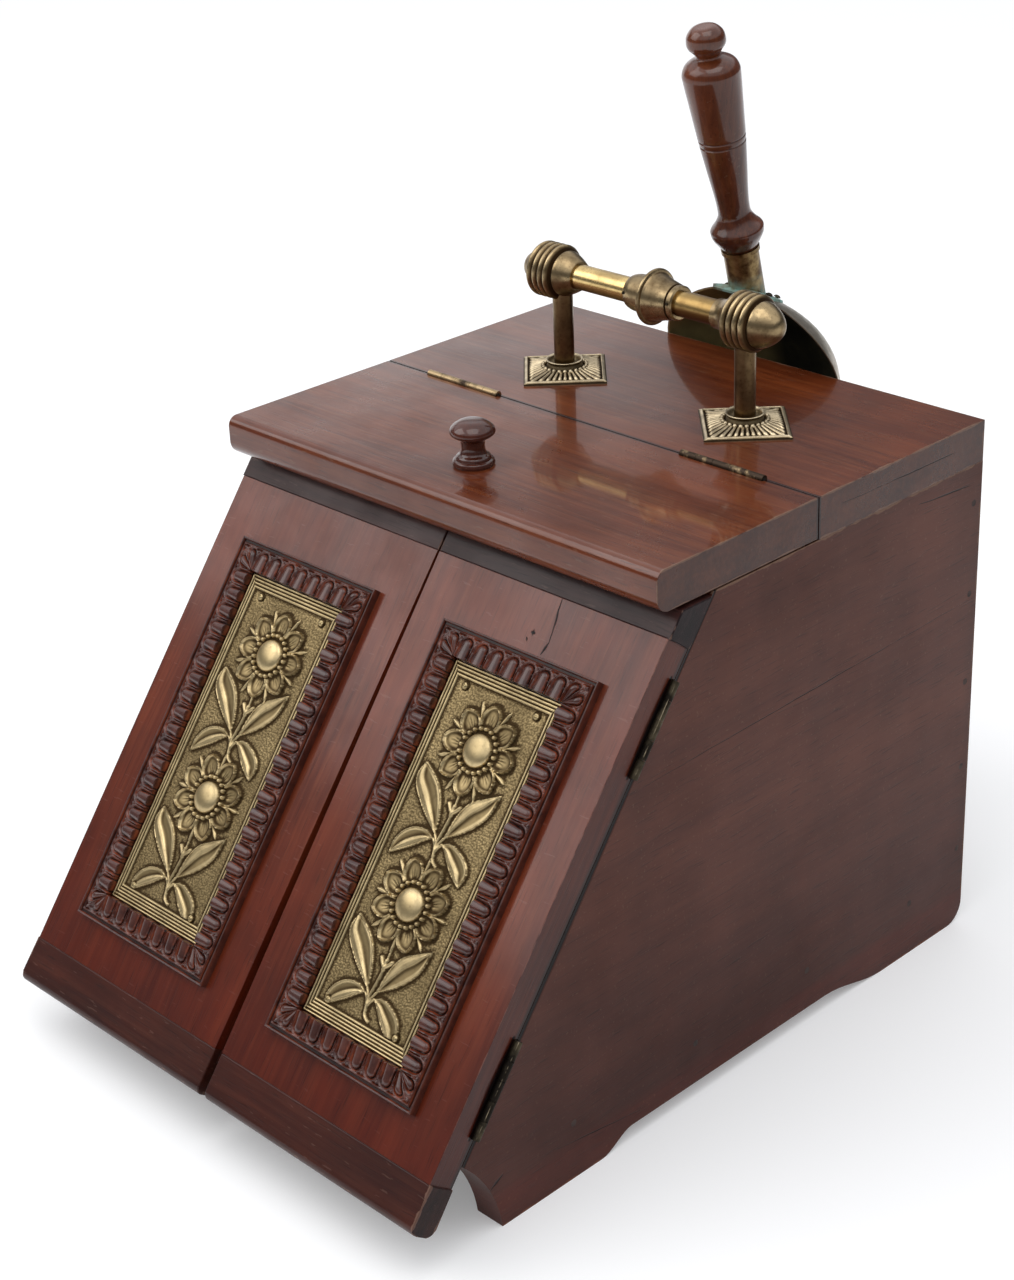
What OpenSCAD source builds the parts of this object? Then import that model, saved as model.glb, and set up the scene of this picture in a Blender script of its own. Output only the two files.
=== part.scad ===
// Fireside coal scuttle: a slope-fronted mahogany box with a hinged lid flap, a pair of sloping
// doors with brass plates in carved frames, a brass carrying handle, and a hand scoop that
// stands in a wooden pocket on the back.
// Millimetres, X to the right, Y to the back, Z up. The origin is on the floor under the middle
// of the whole piece. Inside the modules y = 0 is the rear face of the box, and in_place() moves it.

/* [Box] */
// Width over the side panels
box_w = 340; // [320:1:380]
// Height of the top surface above the floor
box_h = 333; // [322:1:350]
// Thickness of the side panels
side_t = 19; // [16:0.5:22]
// Thickness of the fixed rear top board
top_t = 25; // [22:0.5:28]
// Depth of the fixed rear top board
rear_top_d = 148.5; // [142:0.5:152]
// Thickness of the back panel
back_t = 14; // [12:0.5:18]
// Thickness of the floor board
floor_t = 12; // [10:0.5:16]
// Height of the floor board's underside
floor_z = 30; // [24:1:34]
// Thickness of the kerb rail at the front of the floor
kerb_t = 14; // [10:0.5:16]
// Thickness of the sheet-iron lining
lining_t = 1; // [0.8:0.1:1.5]
// Distance of the lining's top edge below the rear top board
lining_drop = 8; // [4:1:20]

/* [Feet] */
// Distance of the front feet's tips behind the doors' lower front edge
foot_set_back = 65; // [60:1:70]
// Height of the hollow cove above the front feet
cove_h = 53.7; // [48:0.1:58]
// Radius of the hollow cove
cove_r = 90; // [70:1:140]
// Length of the front feet on the floor
front_foot_l = 76; // [60:1:90]
// Length of the rear feet on the floor
rear_foot_l = 66; // [50:1:80]
// Height of the arch between the feet
arch_h = 9.5; // [6:0.5:12]
// Length of the ogee at the front end of the arch
arch_front_run = 24; // [18:1:30]
// Length of the ogee at the rear end of the arch
arch_rear_run = 54; // [40:1:60]
// Radius of the lower rear corners
rear_corner_r = 14; // [8:1:18]

/* [Lid] */
// Thickness of the lid flap
lid_t = 24; // [20:0.5:24.5]
// Reach of the lid's nose past the faces of the doors
lid_overhang = 17.7; // [12:0.1:22]
// Radius on the upper edge of the lid's nose
nose_top_r = 6; // [4:0.5:8]
// Radius on the lower edge of the lid's nose
nose_under_r = 9; // [6:0.5:11]
// Width of the seam between the lid and the rear top board
seam = 0.8; // [0.6:0.1:1.2]
// Diameter of the knob's head
knob_d = 25.8; // [22:0.1:30]
// Diameter of the knob's foot
knob_foot_d = 24.2; // [20:0.1:28]
// Height of the knob above the lid
knob_h = 26.2; // [22:0.1:28]
// Diameter of the knob's spigot in the lid
knob_spigot_d = 8; // [6:0.5:10]
// Length of the knob's spigot in the lid
knob_spigot_l = 14; // [10:1:16]
// Distance of the knob to the right of the middle
knob_x = -5.5; // [-10:0.5:10]
// Distance of the knob in front of the seam
knob_reach = 85; // [75:1:92]

/* [Doors] */
// Angle of the doors from the floor
slope_deg = 52.6; // [51:0.1:54]
// Distance of the doors' lower front edge from the rear face of the box
door_reach = 467; // [455:1:480]
// Height of the doors' lower front edge
toe_h = 34; // [30:1:40]
// Thickness of the doors
door_t = 18.4; // [16:0.1:20]
// Clearance between the doors' backs and the side panels
door_clear = 0.4; // [0.3:0.1:1]
// Clearance between the doors' tops and the lid
door_head_gap = 2.7; // [1.5:0.1:4]
// Width of the meeting gap at the top of the doors
meeting_top = 1.4; // [1:0.1:4]
// Width of the meeting gap at the foot of the doors
meeting_toe = 6.5; // [2:0.1:9]
// Width of the top clamps on the face of the doors
top_clamp_w = 16; // [12:0.5:24]
// Width of the bottom clamps
toe_clamp_w = 27; // [20:0.5:34]
// Amount by which the clamps stand out past the shrunk panels' edges
clamp_proud = 1.2; // [0.6:0.1:1.3]
// Amount by which the clamps narrow the meeting gap at each door
gap_proud = 0.3; // [0:0.1:0.5]
// Radius on the lower ends of the doors
toe_r = 5; // [2:0.5:7]
// Thickness of the tongues between panels and clamps
tongue_t = 6; // [4:0.5:8]
// Length of the tongues between panels and clamps
tongue_l = 7; // [5:0.5:9]
// Clearance round the tongues
tongue_clear = 0.1; // [0.05:0.05:0.3]

/* [Door ornament] */
// Width over the moulding frame
frame_w = 115.8; // [108:0.1:124]
// Length over the moulding frame
frame_l = 240.4; // [230:0.1:250]
// Width of the frame's rails
rail_w = 17.4; // [15:0.1:20]
// Height of the frame's rails off the doors
rail_h = 7.2; // [6:0.1:9]
// Distance of the frame's middle above the middle of the doors
frame_up = 1.8; // [-4:0.1:6]
// Width of the open mitre lines
mitre_gap = 0.12; // [0.1:0.02:0.3]
// Thickness of the brass plates
plate_t = 1.2; // [0.8:0.1:1.5]
// Clearance between the plates and the frames
plate_clear = 0.2; // [0.1:0.05:0.5]
// Height of the raised flowers on the plates
flower_h = 4.6; // [2:0.1:5]
// Radius of the round domes in the flowers
dome_r = 9.4; // [8:0.1:10.5]
// Reach of the flowers' petals from the middle of the dome
petal_reach = 25.8; // [22:0.1:28]
// Distance of the upper flower above the plate's middle
flower_up = 62.1; // [58:0.1:66]
// Distance of the lower flower below the plate's middle
flower_down = 26.2; // [20:0.1:32]
// Diameter of the plate pins' round heads
plate_pin_head_d = 4; // [3:0.1:4.6]
// Distance of the plate pins in from the plate's long edges
plate_pin_side = 13.5; // [8:0.1:16]
// Distance of the plate pins in from the plate's short edges
plate_pin_end = 11.6; // [8:0.1:14]

/* [Hinges] */
// Length of the door hinges
door_hinge_l = 55; // [45:1:60]
// Distance of the lower door hinges' middle from the foot of the door
door_hinge_low = 82; // [72:1:100]
// Distance of the upper door hinges' middle below the top of the doors
door_hinge_down = 60.8; // [52:0.1:76]
// Length of the lid hinges
lid_hinge_l = 60; // [45:1:70]
// Distance of the lid hinges' middle from the sides of the box
lid_hinge_in = 67.5; // [58:0.5:74]
// Thickness of the hinge leaves
leaf_t = 1.1; // [0.9:0.1:1.4]
// Width of the hinge leaves
leaf_w = 15; // [12:0.5:16]
// Radius of the hinge barrels
barrel_r = 2.3; // [2:0.1:2.6]
// Radius of the hinge pins
hinge_pin_r = 1; // [0.8:0.1:1.2]
// Clearance round the hinge pins
pin_clear = 0.05; // [0.03:0.01:0.09]
// Gap between the knuckles of a hinge
knuckle_gap = 0.3; // [0.2:0.05:0.5]
// Distance of the door hinges' pins outside the side panels
door_pin_out = 1.6; // [1.5:0.1:2]
// Distance of the door hinges' pins in front of the doors' backs
door_pin_fore = 0.4; // [0.3:0.1:0.6]
// Height of the lid hinges' pins above the top surface
lid_pin_up = 0.3; // [0.1:0.1:0.6]

/* [Carrying handle] */
// Height of the bar above the top surface
bar_up = 62.5; // [56:0.5:70]
// Distance of the handle in front of the rear face
handle_fore = 93.5; // [88:0.5:98]
// Distance between the middles of the posts
post_span = 143; // [134:0.5:150]
// Radius of the posts
post_r = 6.2; // [5:0.1:6.6]
// Radius of the bar
bar_r = 7.5; // [6.5:0.1:7.8]
// Wall of the bar's tube
bar_wall = 1.5; // [1:0.1:2]
// Greatest radius of the end bosses
boss_r = 16.6; // [15:0.1:18]
// Length of the right boss's acorn past its rings
acorn_l = 15.5; // [14:0.5:18]
// Length of the left boss's flared end past its rings
flare_l = 10.7; // [9:0.1:13]
// Greatest radius of the collar on the middle of the bar
collar_r = 16.7; // [15:0.1:17]
// Width of the square rosettes
rosette_w = 50; // [44:0.5:56]
// Height of the rosettes' collars above the top surface
rosette_h = 8.5; // [7:0.1:10]
// Radius of the studs inside the posts
stud_r = 3; // [2:0.1:3]
// Fitting clearance of posts, bar and studs
brass_fit = 0.05; // [0.03:0.01:0.1]
// Thickness of the washers under the board
washer_t = 1.5; // [1:0.1:2]
// Thickness of the nuts under the board
nut_t = 5; // [4:0.1:6]

/* [Scoop] */
// Forward lean of the scoop
lean_deg = 13.4; // [12.4:0.1:14.4]
// Distance of the scoop to the right of the middle
scoop_x = -4; // [-8:0.5:8]
// Width of the bowl at its mouth
bowl_w = 134; // [124:1:140]
// Depth of the bowl
bowl_d = 36; // [32:0.5:40]
// Reach of the bowl's domed end above the top surface
dome_up = 45; // [42:0.5:48]
// Length of the domed end
dome_l = 50; // [46:0.5:54]
// Reach of the bowl's lip below the top surface
lip_down = 151.5; // [140:0.5:158]
// Amount by which the bowl deepens towards its lip
lip_flare = 2; // [0:0.5:3]
// Thickness of the bowl's sheet brass
sheet_t = 1.2; // [1:0.1:1.6]
// Depth of the scoop handle's middle line behind the bowl's mouth
grip_in = 6.7; // [6:0.1:8]
// Height of the socket's top above the top surface
socket_up = 71.5; // [67:0.5:76]
// Radius of the socket
socket_r = 10.7; // [10:0.1:11.5]
// Wall of the socket
socket_wall = 1.2; // [1:0.1:1.6]
// Radius of the socket's riveted foot
socket_foot_r = 20; // [18:0.5:22]
// Thickness of the socket's riveted foot
socket_foot_t = 1.6; // [1.2:0.1:2]
// Length of the wooden grip above the socket
grip_l = 140; // [130:1:150]
// Greatest radius of the wooden grip
grip_r = 17; // [15:0.1:19]
// Length of the grip's tenon in the socket
tenon_l = 16; // [12:1:18]
// Clearance of the scoop from the board and the shelf that carry it
scoop_seat = 0.35; // [0.3:0.05:0.6]

/* [Scoop pocket] */
// Thickness of the pocket's boards
pocket_t = 11; // [9:0.5:13]
// Clearance at each side of the bowl in the pocket
pocket_clear = 1.5; // [1:0.1:4]
// Drop of the pocket's front corners below the top surface
pocket_drop = 27; // [20:1:40]
// Further fall of the pocket's top towards its back board
pocket_fall = 22; // [10:1:30]
// Radius on the pocket's corners
pocket_r = 12; // [6:1:16]

/* [Nails] */
// Radius of the carcase nails
nail_r = 1.2; // [1:0.1:1.5]
// Radius of the nails' heads
nail_head_r = 2; // [1.8:0.1:2.6]
// Length of the nails
nail_l = 34; // [30:1:40]

/* [Hidden] */
$fn = 48;

// Colours of the stuffs
mahogany = [0.40, 0.15, 0.08];
dark_mahogany = [0.26, 0.12, 0.09];
old_brass = [0.60, 0.48, 0.24];
dark_brass = [0.42, 0.34, 0.18];
black_iron = [0.10, 0.10, 0.11];
bare_deal = [0.55, 0.40, 0.25];

// Overshoot of a cut past a face, and the size of a cut that clears everything
over = 1;
far = 800;

// The slope: s runs up the doors' faces from their foot, o outwards from the faces
side_h = box_h - top_t;
lid_under = box_h - lid_t;
edge_o = -door_t - door_clear;
function slope_y(s, o) = -door_reach + s * cos(slope_deg) - o * sin(slope_deg);
function slope_z(s, o) = toe_h + s * sin(slope_deg) + o * cos(slope_deg);
function s_at_z(z, o) = (z - toe_h - o * cos(slope_deg)) / sin(slope_deg);
function s_at_y(y, o) = (y + door_reach + o * sin(slope_deg)) / cos(slope_deg);
function y_at_z(z, o) = slope_y(s_at_z(z, o), o);
function z_at_y(y, o) = slope_z(s_at_y(y, o), o);

// Feet
foot_tip_y = -door_reach + foot_set_back;
arch_front_y = foot_tip_y + front_foot_l;
arch_rear_y = -rear_corner_r - rear_foot_l;
arch_steps = 8;
function ease(t) = t * t * (3 - 2 * t);
cove_top = [y_at_z(cove_h, edge_o), cove_h];
cove_chord = [foot_tip_y, 0] - cove_top;
cove_out = [cove_chord[1], -cove_chord[0]] / norm(cove_chord);
cove_mid = (cove_top + [foot_tip_y, 0]) / 2;
cove_centre = cove_mid + cove_out * sqrt(cove_r * cove_r - pow(norm(cove_chord) / 2, 2));

// Floor, kerb and lining
inner_w = box_w - 2 * side_t;
floor_top = floor_z + floor_t;
kerb_front = foot_tip_y + over;
kerb_back = kerb_front + kerb_t;
lining_set_back = 6;
lining_front_z = z_at_y(kerb_back, edge_o - lining_set_back);
lining_top = side_h - lining_drop;

// Lid
seam_y = -rear_top_d - seam / 2;
lid_back = -rear_top_d - seam;
door_top_z = lid_under - door_head_gap;
lid_front = y_at_z(door_top_z, 0) - lid_overhang;
knob_y = seam_y - knob_reach;

// Doors
door_s = s_at_z(door_top_z, 0);
top_line = door_s - top_clamp_w;
door_mid = box_w / 4 + meeting_toe / 8;
frame_s = door_s / 2 + frame_up;
function inner_edge(s) = (meeting_toe + (meeting_top - meeting_toe) * s / door_s) / 2;

// Hinges
door_hinge_high = door_s - door_hinge_down;
lid_hinge_x = box_w / 2 - lid_hinge_in;
door_pin_x = box_w / 2 + door_pin_out;
door_pin_o = -door_t + door_pin_fore;
lid_pin_z = box_h + lid_pin_up;
knuckles = 5;
barrel_room = 0.2;
leaf_room = 0.15;

// Handle
bar_z = box_h + bar_up;
right_root = post_span / 2 - 19.5;
left_root = post_span / 2 - 15;
right_rings = post_span / 2 - 6.7;
left_rings = post_span / 2 - 2.3;
ring_w = 4.4;
ring_deep = 2.2;
rings = 4;
bar_half = post_span / 2 - 11;
post_foot = 2;
post_head = 5;
stud_below = washer_t + nut_t + 2;
washer_r = 9;
nut_r = 5.8;
collar_pin_r = 0.9;
collar_left = -13.8;
collar_right = 24;
collar_pin_lift = 10;
collar_pin_x = [collar_left + 1.8, collar_right - 2.5];
collar_pin_top = 10.8;

// Scoop
bowl_half = bowl_w / 2;
bowl_off = (bowl_half * bowl_half - bowl_d * bowl_d) / (2 * bowl_d);
dome_start = dome_up - dome_l;
dome_power = 2.1;
dome_steps = 14;
function dome_in(v, d, l) = d * (1 - pow(max(0, (v - dome_start) / l), dome_power));
function dome_v(d) = dome_start + (dome_l + sheet_t) * pow(1 - d / (bowl_d + sheet_t), 1 / dome_power);
lip_d = bowl_d + lip_flare;
lip_half = sqrt(pow(bowl_off + lip_d + sheet_t, 2) - bowl_off * bowl_off);
tip_z = box_h - lip_down * cos(lean_deg) + lip_d * sin(lean_deg);
tip_y = scoop_seat + lip_down * sin(lean_deg) + (lip_d + sheet_t) * cos(lean_deg);
rivet_ring = 16;
rivet_r = 1.2;
rivet_head_r = 2.2;

// Pocket
shelf_top = tip_z - scoop_seat;
pocket_in = tip_y + scoop_seat;
pocket_out = pocket_in + pocket_t;
pocket_half = lip_half + pocket_clear;
cheek_top = box_h - pocket_drop;
back_board_top = cheek_top - pocket_fall;

// Place of the rear face, which puts the origin under the middle of the whole piece
front_y = -door_reach + toe_r * (sin(slope_deg) + cos(slope_deg) - 1);
middle_y = (front_y + pocket_out) / 2;

// Nails of one side: into the back panel, then into the floor board
back_nails = [for (k = [0:4]) [-back_t / 2, floor_z + 24 + k * (side_h - floor_z - 48) / 4]];
floor_nails = [for (k = [0:3]) [kerb_back + 40 + k * (-kerb_back - back_t - 80) / 3, floor_z + floor_t / 2]];
nail_sites = concat(back_nails, floor_nails);

// A smooth curve through a few stations of a turned outline
function blend(a, b, c, d, t) =
  ((2 * b) + (c - a) * t + (2 * a - 5 * b + 4 * c - d) * t * t + (3 * b - 3 * c + d - a) * t * t * t) / 2;
function turned(p, n) = concat(
  [for (i = [0:len(p) - 2]) for (k = [0:n - 1])
    blend(p[max(i - 1, 0)], p[i], p[i + 1], p[min(i + 2, len(p) - 1)], k / n)],
  [p[len(p) - 1]]);

module in_place() { translate([0, -middle_y, 0]) children(); }
module on_slope() { translate([0, -door_reach, toe_h]) rotate([slope_deg, 0, 0]) children(); }
module on_scoop() { translate([scoop_x, scoop_seat, box_h]) rotate([lean_deg, 0, 0]) children(); }
module to_left() { mirror([1, 0, 0]) children(); }
// A plate of thickness t from x0 to the right, cut to an outline drawn in y and z
module yz_plate(x0, t) { translate([x0, 0, 0]) rotate([90, 0, 90]) linear_extrude(t) children(); }
// What a square corner of radius r loses, drawn in the corner at the origin
module corner_cut(r) {
  difference() {
    translate([-over, -over]) square(r + over);
    translate([r, r]) circle(r);
  }
}

// ---- Hinges: pin along X, leaves hanging towards -Z, the moving part on the +Y side ----
module barrel_run(l, first, r, gap) {
  step = l / knuckles;
  for (i = [first:2:knuckles - 1])
    translate([-l / 2 + i * step + gap / 2, 0, 0]) rotate([0, 90, 0]) cylinder(h = step - gap, r = r);
}
module hinge_leaf(l, first, plate_y) {
  difference() {
    union() {
      difference() {
        translate([-l / 2, plate_y, -leaf_w]) cube([l, leaf_t, leaf_w]);
        barrel_run(l, 1 - first, barrel_r + barrel_room, -knuckle_gap / 2);
      }
      barrel_run(l, first, barrel_r, knuckle_gap);
    }
    translate([-l / 2 - over, 0, 0]) rotate([0, 90, 0]) cylinder(h = l + 2 * over, r = hinge_pin_r + pin_clear);
  }
}
module hinge_pin(l) { translate([-l / 2, 0, 0]) rotate([0, 90, 0]) cylinder(h = l, r = hinge_pin_r); }
// The recess for a leaf and its barrel
module hinge_recess(l, plate_y, open_y) {
  low = min(plate_y, open_y);
  translate([-l / 2 - leaf_room, low, -leaf_w - leaf_room])
    cube([l + 2 * leaf_room, max(plate_y, open_y) - low, leaf_w + leaf_room + barrel_r + over]);
  translate([-l / 2 - leaf_room, 0, 0]) rotate([0, 90, 0])
    cylinder(h = l + 2 * leaf_room, r = barrel_r + barrel_room);
}
module at_door_hinge(s) {
  on_slope() translate([door_pin_x, s, door_pin_o]) rotate([90, 0, 90]) children();
}
module at_lid_hinge(x) { translate([x, seam_y, lid_pin_z]) rotate([0, 0, 180]) children(); }
side_leaf_y = -door_pin_fore - door_clear - leaf_t;
door_leaf_y = -door_pin_fore;
rear_leaf_y = -seam / 2 - leaf_t;
lid_leaf_y = seam / 2;

// ---- Carcase ----
module side_outline() {
  difference() {
    polygon([[0, 0], [0, side_h], [y_at_z(side_h, edge_o), side_h], [y_at_z(0, edge_o), 0]]);
    translate(cove_centre) circle(cove_r, $fn = 160);
    polygon(concat(
      [[arch_front_y, -over]],
      [for (i = [0:arch_steps]) [arch_front_y + arch_front_run * i / arch_steps, arch_h * ease(i / arch_steps)]],
      [for (i = [arch_steps:-1:0]) [arch_rear_y - arch_rear_run * i / arch_steps, arch_h * ease(i / arch_steps)]],
      [[arch_rear_y, -over]]));
    mirror([1, 0]) corner_cut(rear_corner_r);
  }
}
module nail(clear) {
  rotate([0, -90, 0]) {
    cylinder(h = nail_l + clear, r = nail_r + clear);
    translate([0, 0, -clear]) cylinder(h = 1.2 + clear, r = nail_head_r + clear);
  }
}
module side_nails(clear) {
  for (p = nail_sites) translate([box_w / 2, p[0], p[1]]) nail(clear);
}
module right_side_shape() {
  difference() {
    yz_plate(box_w / 2 - side_t, side_t) side_outline();
    side_nails(0.05);
    for (s = [door_hinge_low, door_hinge_high])
      at_door_hinge(s) hinge_recess(door_hinge_l, side_leaf_y, over);
  }
}
module right_side() { color(dark_mahogany) in_place() right_side_shape(); }
module left_side() { color(dark_mahogany) in_place() to_left() right_side_shape(); }
module back_panel() {
  color(bare_deal) in_place() difference() {
    translate([-inner_w / 2, -back_t, floor_z]) cube([inner_w, back_t, side_h - floor_z]);
    side_nails(0.05);
    to_left() side_nails(0.05);
  }
}
module floor_board() {
  color(bare_deal) in_place() difference() {
    translate([-inner_w / 2, kerb_back, floor_z]) cube([inner_w, -back_t - kerb_back, floor_t]);
    side_nails(0.05);
    to_left() side_nails(0.05);
  }
}
module kerb_rail() {
  color(bare_deal) in_place() difference() {
    translate([-inner_w / 2, kerb_front, floor_z]) cube([inner_w, kerb_t, lining_front_z - floor_z]);
    on_slope() translate([-far / 2, -far / 2, edge_o - over]) cube(far);
  }
}
module coal_lining() {
  color(black_iron) in_place() difference() {
    yz_plate(-inner_w / 2, inner_w) polygon([
      [kerb_back, floor_top],
      [kerb_back, lining_front_z],
      [y_at_z(lining_top, edge_o - lining_set_back), lining_top],
      [-back_t, lining_top],
      [-back_t, floor_top]]);
    translate([-inner_w / 2 + lining_t, kerb_back + lining_t, floor_top + lining_t])
      cube([inner_w - 2 * lining_t, -back_t - kerb_back - 2 * lining_t, far]);
  }
}
module carcase_nails() {
  color(black_iron) in_place() {
    side_nails(0);
    to_left() side_nails(0);
  }
}
module stud_holes() {
  for (x = [-1, 1] * post_span / 2)
    translate([x, -handle_fore, side_h - over]) cylinder(h = top_t + 2 * over, r = stud_r + brass_fit);
}
module rear_top() {
  color(mahogany) in_place() difference() {
    translate([-box_w / 2, -rear_top_d, side_h]) cube([box_w, rear_top_d, top_t]);
    stud_holes();
    for (x = [-lid_hinge_x, lid_hinge_x]) at_lid_hinge(x) hinge_recess(lid_hinge_l, rear_leaf_y, over);
  }
}

// ---- Scoop pocket ----
module cheek(x0) {
  color(bare_deal) in_place() yz_plate(x0, pocket_t) difference() {
    polygon([
      [0, shelf_top - pocket_t],
      [0, cheek_top],
      [pocket_r, cheek_top],
      [pocket_out, back_board_top],
      [pocket_out, shelf_top - pocket_t]]);
    translate([pocket_out, shelf_top - pocket_t]) mirror([1, 0]) corner_cut(pocket_r);
  }
}
module pocket_left_cheek() { cheek(scoop_x - pocket_half - pocket_t); }
module pocket_right_cheek() { cheek(scoop_x + pocket_half); }
module pocket_back_board() {
  color(bare_deal) in_place()
    translate([scoop_x - pocket_half, pocket_in, shelf_top])
      cube([2 * pocket_half, pocket_t, back_board_top - shelf_top]);
}
module pocket_shelf() {
  color(bare_deal) in_place()
    translate([scoop_x - pocket_half, 0, shelf_top - pocket_t]) cube([2 * pocket_half, pocket_in, pocket_t]);
}

// ---- Lid ----
module lid_board() {
  color(mahogany) in_place() difference() {
    yz_plate(-box_w / 2, box_w) {
      translate([lid_front + nose_under_r, lid_under]) square([lid_back - lid_front - nose_under_r, lid_t]);
      translate([lid_front + nose_under_r, lid_under + nose_under_r]) circle(nose_under_r);
      translate([lid_front + nose_top_r, box_h - nose_top_r]) circle(nose_top_r);
      translate([lid_front, lid_under + nose_under_r])
        square([nose_under_r, lid_t - nose_under_r - nose_top_r]);
      translate([lid_front + nose_top_r, lid_under + nose_under_r])
        square([nose_under_r, lid_t - nose_under_r]);
    }
    for (x = [-lid_hinge_x, lid_hinge_x]) at_lid_hinge(x) hinge_recess(lid_hinge_l, lid_leaf_y + leaf_t, -over);
    translate([knob_x, knob_y, box_h - knob_spigot_l]) cylinder(h = knob_spigot_l + over, d = knob_spigot_d + 0.1);
  }
}
module lid_knob() {
  head = knob_d / 2;
  foot = knob_foot_d / 2;
  color(mahogany) in_place() translate([knob_x, knob_y, box_h]) {
    rotate_extrude() polygon(concat(
      [[0, 0], [foot - 0.4, 0]],
      turned([[foot, 1.3], [foot - 0.6, 2.9], [foot - 2, 3.5]], 3),
      turned([[foot - 2, 4.2], [foot - 2.6, 5.4], [foot - 4.6, 7], [foot - 5.4, 9.5], [foot - 5.4, 12],
              [foot - 4.8, 14.4], [foot - 2.8, 16], [head - 1.4, 17.3]], 3),
      turned([[head - 0.3, 18.4], [head, 19.6], [head - 0.8, 21.8], [head - 3.3, 24],
              [head - 7, knob_h - 0.5], [0, knob_h]], 4)));
    translate([0, 0, -knob_spigot_l + over]) cylinder(h = knob_spigot_l, d = knob_spigot_d);
  }
}
module left_lid_hinge_rear_leaf() {
  color(dark_brass) in_place() at_lid_hinge(-lid_hinge_x) hinge_leaf(lid_hinge_l, 0, rear_leaf_y);
}
module right_lid_hinge_rear_leaf() {
  color(dark_brass) in_place() at_lid_hinge(lid_hinge_x) hinge_leaf(lid_hinge_l, 0, rear_leaf_y);
}
module left_lid_hinge_front_leaf() {
  color(dark_brass) in_place() at_lid_hinge(-lid_hinge_x) hinge_leaf(lid_hinge_l, 1, lid_leaf_y);
}
module right_lid_hinge_front_leaf() {
  color(dark_brass) in_place() at_lid_hinge(lid_hinge_x) hinge_leaf(lid_hinge_l, 1, lid_leaf_y);
}
module lid_hinge_pins() {
  color(black_iron) in_place() for (x = [-lid_hinge_x, lid_hinge_x]) at_lid_hinge(x) hinge_pin(lid_hinge_l);
}

// ---- Doors: drawn on the slope as the right-hand door, mirrored for the left ----
// A board of the door: its section in s and o, cut to the plan of the meeting gap's taper
module door_board(outer_x, proud) {
  s1 = door_s + 2 * door_t;
  intersection() {
    rotate([90, 0, 90]) linear_extrude(outer_x) children();
    linear_extrude(far, center = true)
      polygon([[inner_edge(-over) - proud, -over], [inner_edge(s1) - proud, s1], [box_w, s1], [box_w, -over]]);
  }
}
// The groove for a tongue, from the joint line s upwards (dir 1) or downwards (dir -1)
module groove(s, dir) {
  low = dir > 0 ? s - over : s - tongue_l - tongue_clear;
  translate([low, -door_t / 2 - tongue_t / 2 - tongue_clear])
    square([tongue_l + over + tongue_clear, tongue_t + 2 * tongue_clear]);
}
module door_panel_shape() {
  tongue_back = -door_t / 2 - tongue_t / 2;
  tongue_face = -door_t / 2 + tongue_t / 2;
  difference() {
    on_slope() door_board(box_w / 2, 0) polygon([
      [toe_clamp_w, -door_t], [top_line, -door_t], [top_line, tongue_back], [top_line + tongue_l, tongue_back],
      [top_line + tongue_l, tongue_face], [top_line, tongue_face], [top_line, 0], [toe_clamp_w, 0],
      [toe_clamp_w, tongue_face], [toe_clamp_w - tongue_l, tongue_face],
      [toe_clamp_w - tongue_l, tongue_back], [toe_clamp_w, tongue_back]]);
    for (s = [door_hinge_low, door_hinge_high])
      at_door_hinge(s) hinge_recess(door_hinge_l, door_leaf_y + leaf_t, -over);
    on_slope() plate_pin_sites() plate_pin(0.05);
  }
}
module top_clamp_shape() {
  on_slope() door_board(box_w / 2 + clamp_proud, gap_proud) difference() {
    polygon([[top_line, -door_t], [top_line, 0], [door_s, 0], [s_at_z(door_top_z, -door_t), -door_t]]);
    groove(top_line, 1);
  }
}
module bottom_clamp_shape() {
  on_slope() door_board(box_w / 2 + clamp_proud, gap_proud) difference() {
    translate([0, -door_t]) square([toe_clamp_w, door_t]);
    groove(toe_clamp_w, -1);
    translate([0, -door_t]) corner_cut(toe_r);
    mirror([0, 1]) corner_cut(toe_r);
  }
}
// Rail section from its outer edge inwards: fillet, hollow, thin ridge, rising bed of the carving
module rail_section() {
  fillet = rail_h * 0.68;
  bed_0 = 4.4;
  bed = rail_w - bed_0 - 1;
  polygon(concat(
    [[0, 0], [0, fillet - 0.3], [0.3, fillet], [0.7, fillet], [1, fillet - 0.5]],
    [[1.4, fillet - 1.6], [2.7, fillet - 1.6], [3.1, fillet - 0.2], [3.4, fillet], [3.7, fillet - 0.2], [4, fillet - 1]],
    [for (i = [0:8]) [bed_0 + bed * i / 8, fillet - 0.6 + (rail_h - fillet + 0.6) * sin(90 * i / 8)]],
    [[rail_w, rail_h - 0.7], [rail_w, 0]]));
}
module rail(l) {
  intersection() {
    translate([-l / 2, 0, 0]) rotate([90, 0, 90]) linear_extrude(l) rail_section();
    linear_extrude(2 * rail_h) polygon([
      [-l / 2 + mitre_gap, 0], [l / 2 - mitre_gap, 0],
      [l / 2 - rail_w - mitre_gap, rail_w], [-l / 2 + rail_w + mitre_gap, rail_w]]);
  }
}
module moulding_shape() {
  on_slope() translate([door_mid, frame_s, 0]) {
    for (turn = [0, 180]) rotate([0, 0, turn]) translate([0, -frame_l / 2, 0]) rail(frame_w);
    for (turn = [90, 270]) rotate([0, 0, turn]) translate([0, -frame_w / 2, 0]) rail(frame_l);
  }
}
plate_w = frame_w - 2 * rail_w - 2 * plate_clear;
plate_l = frame_l - 2 * rail_w - 2 * plate_clear;
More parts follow.
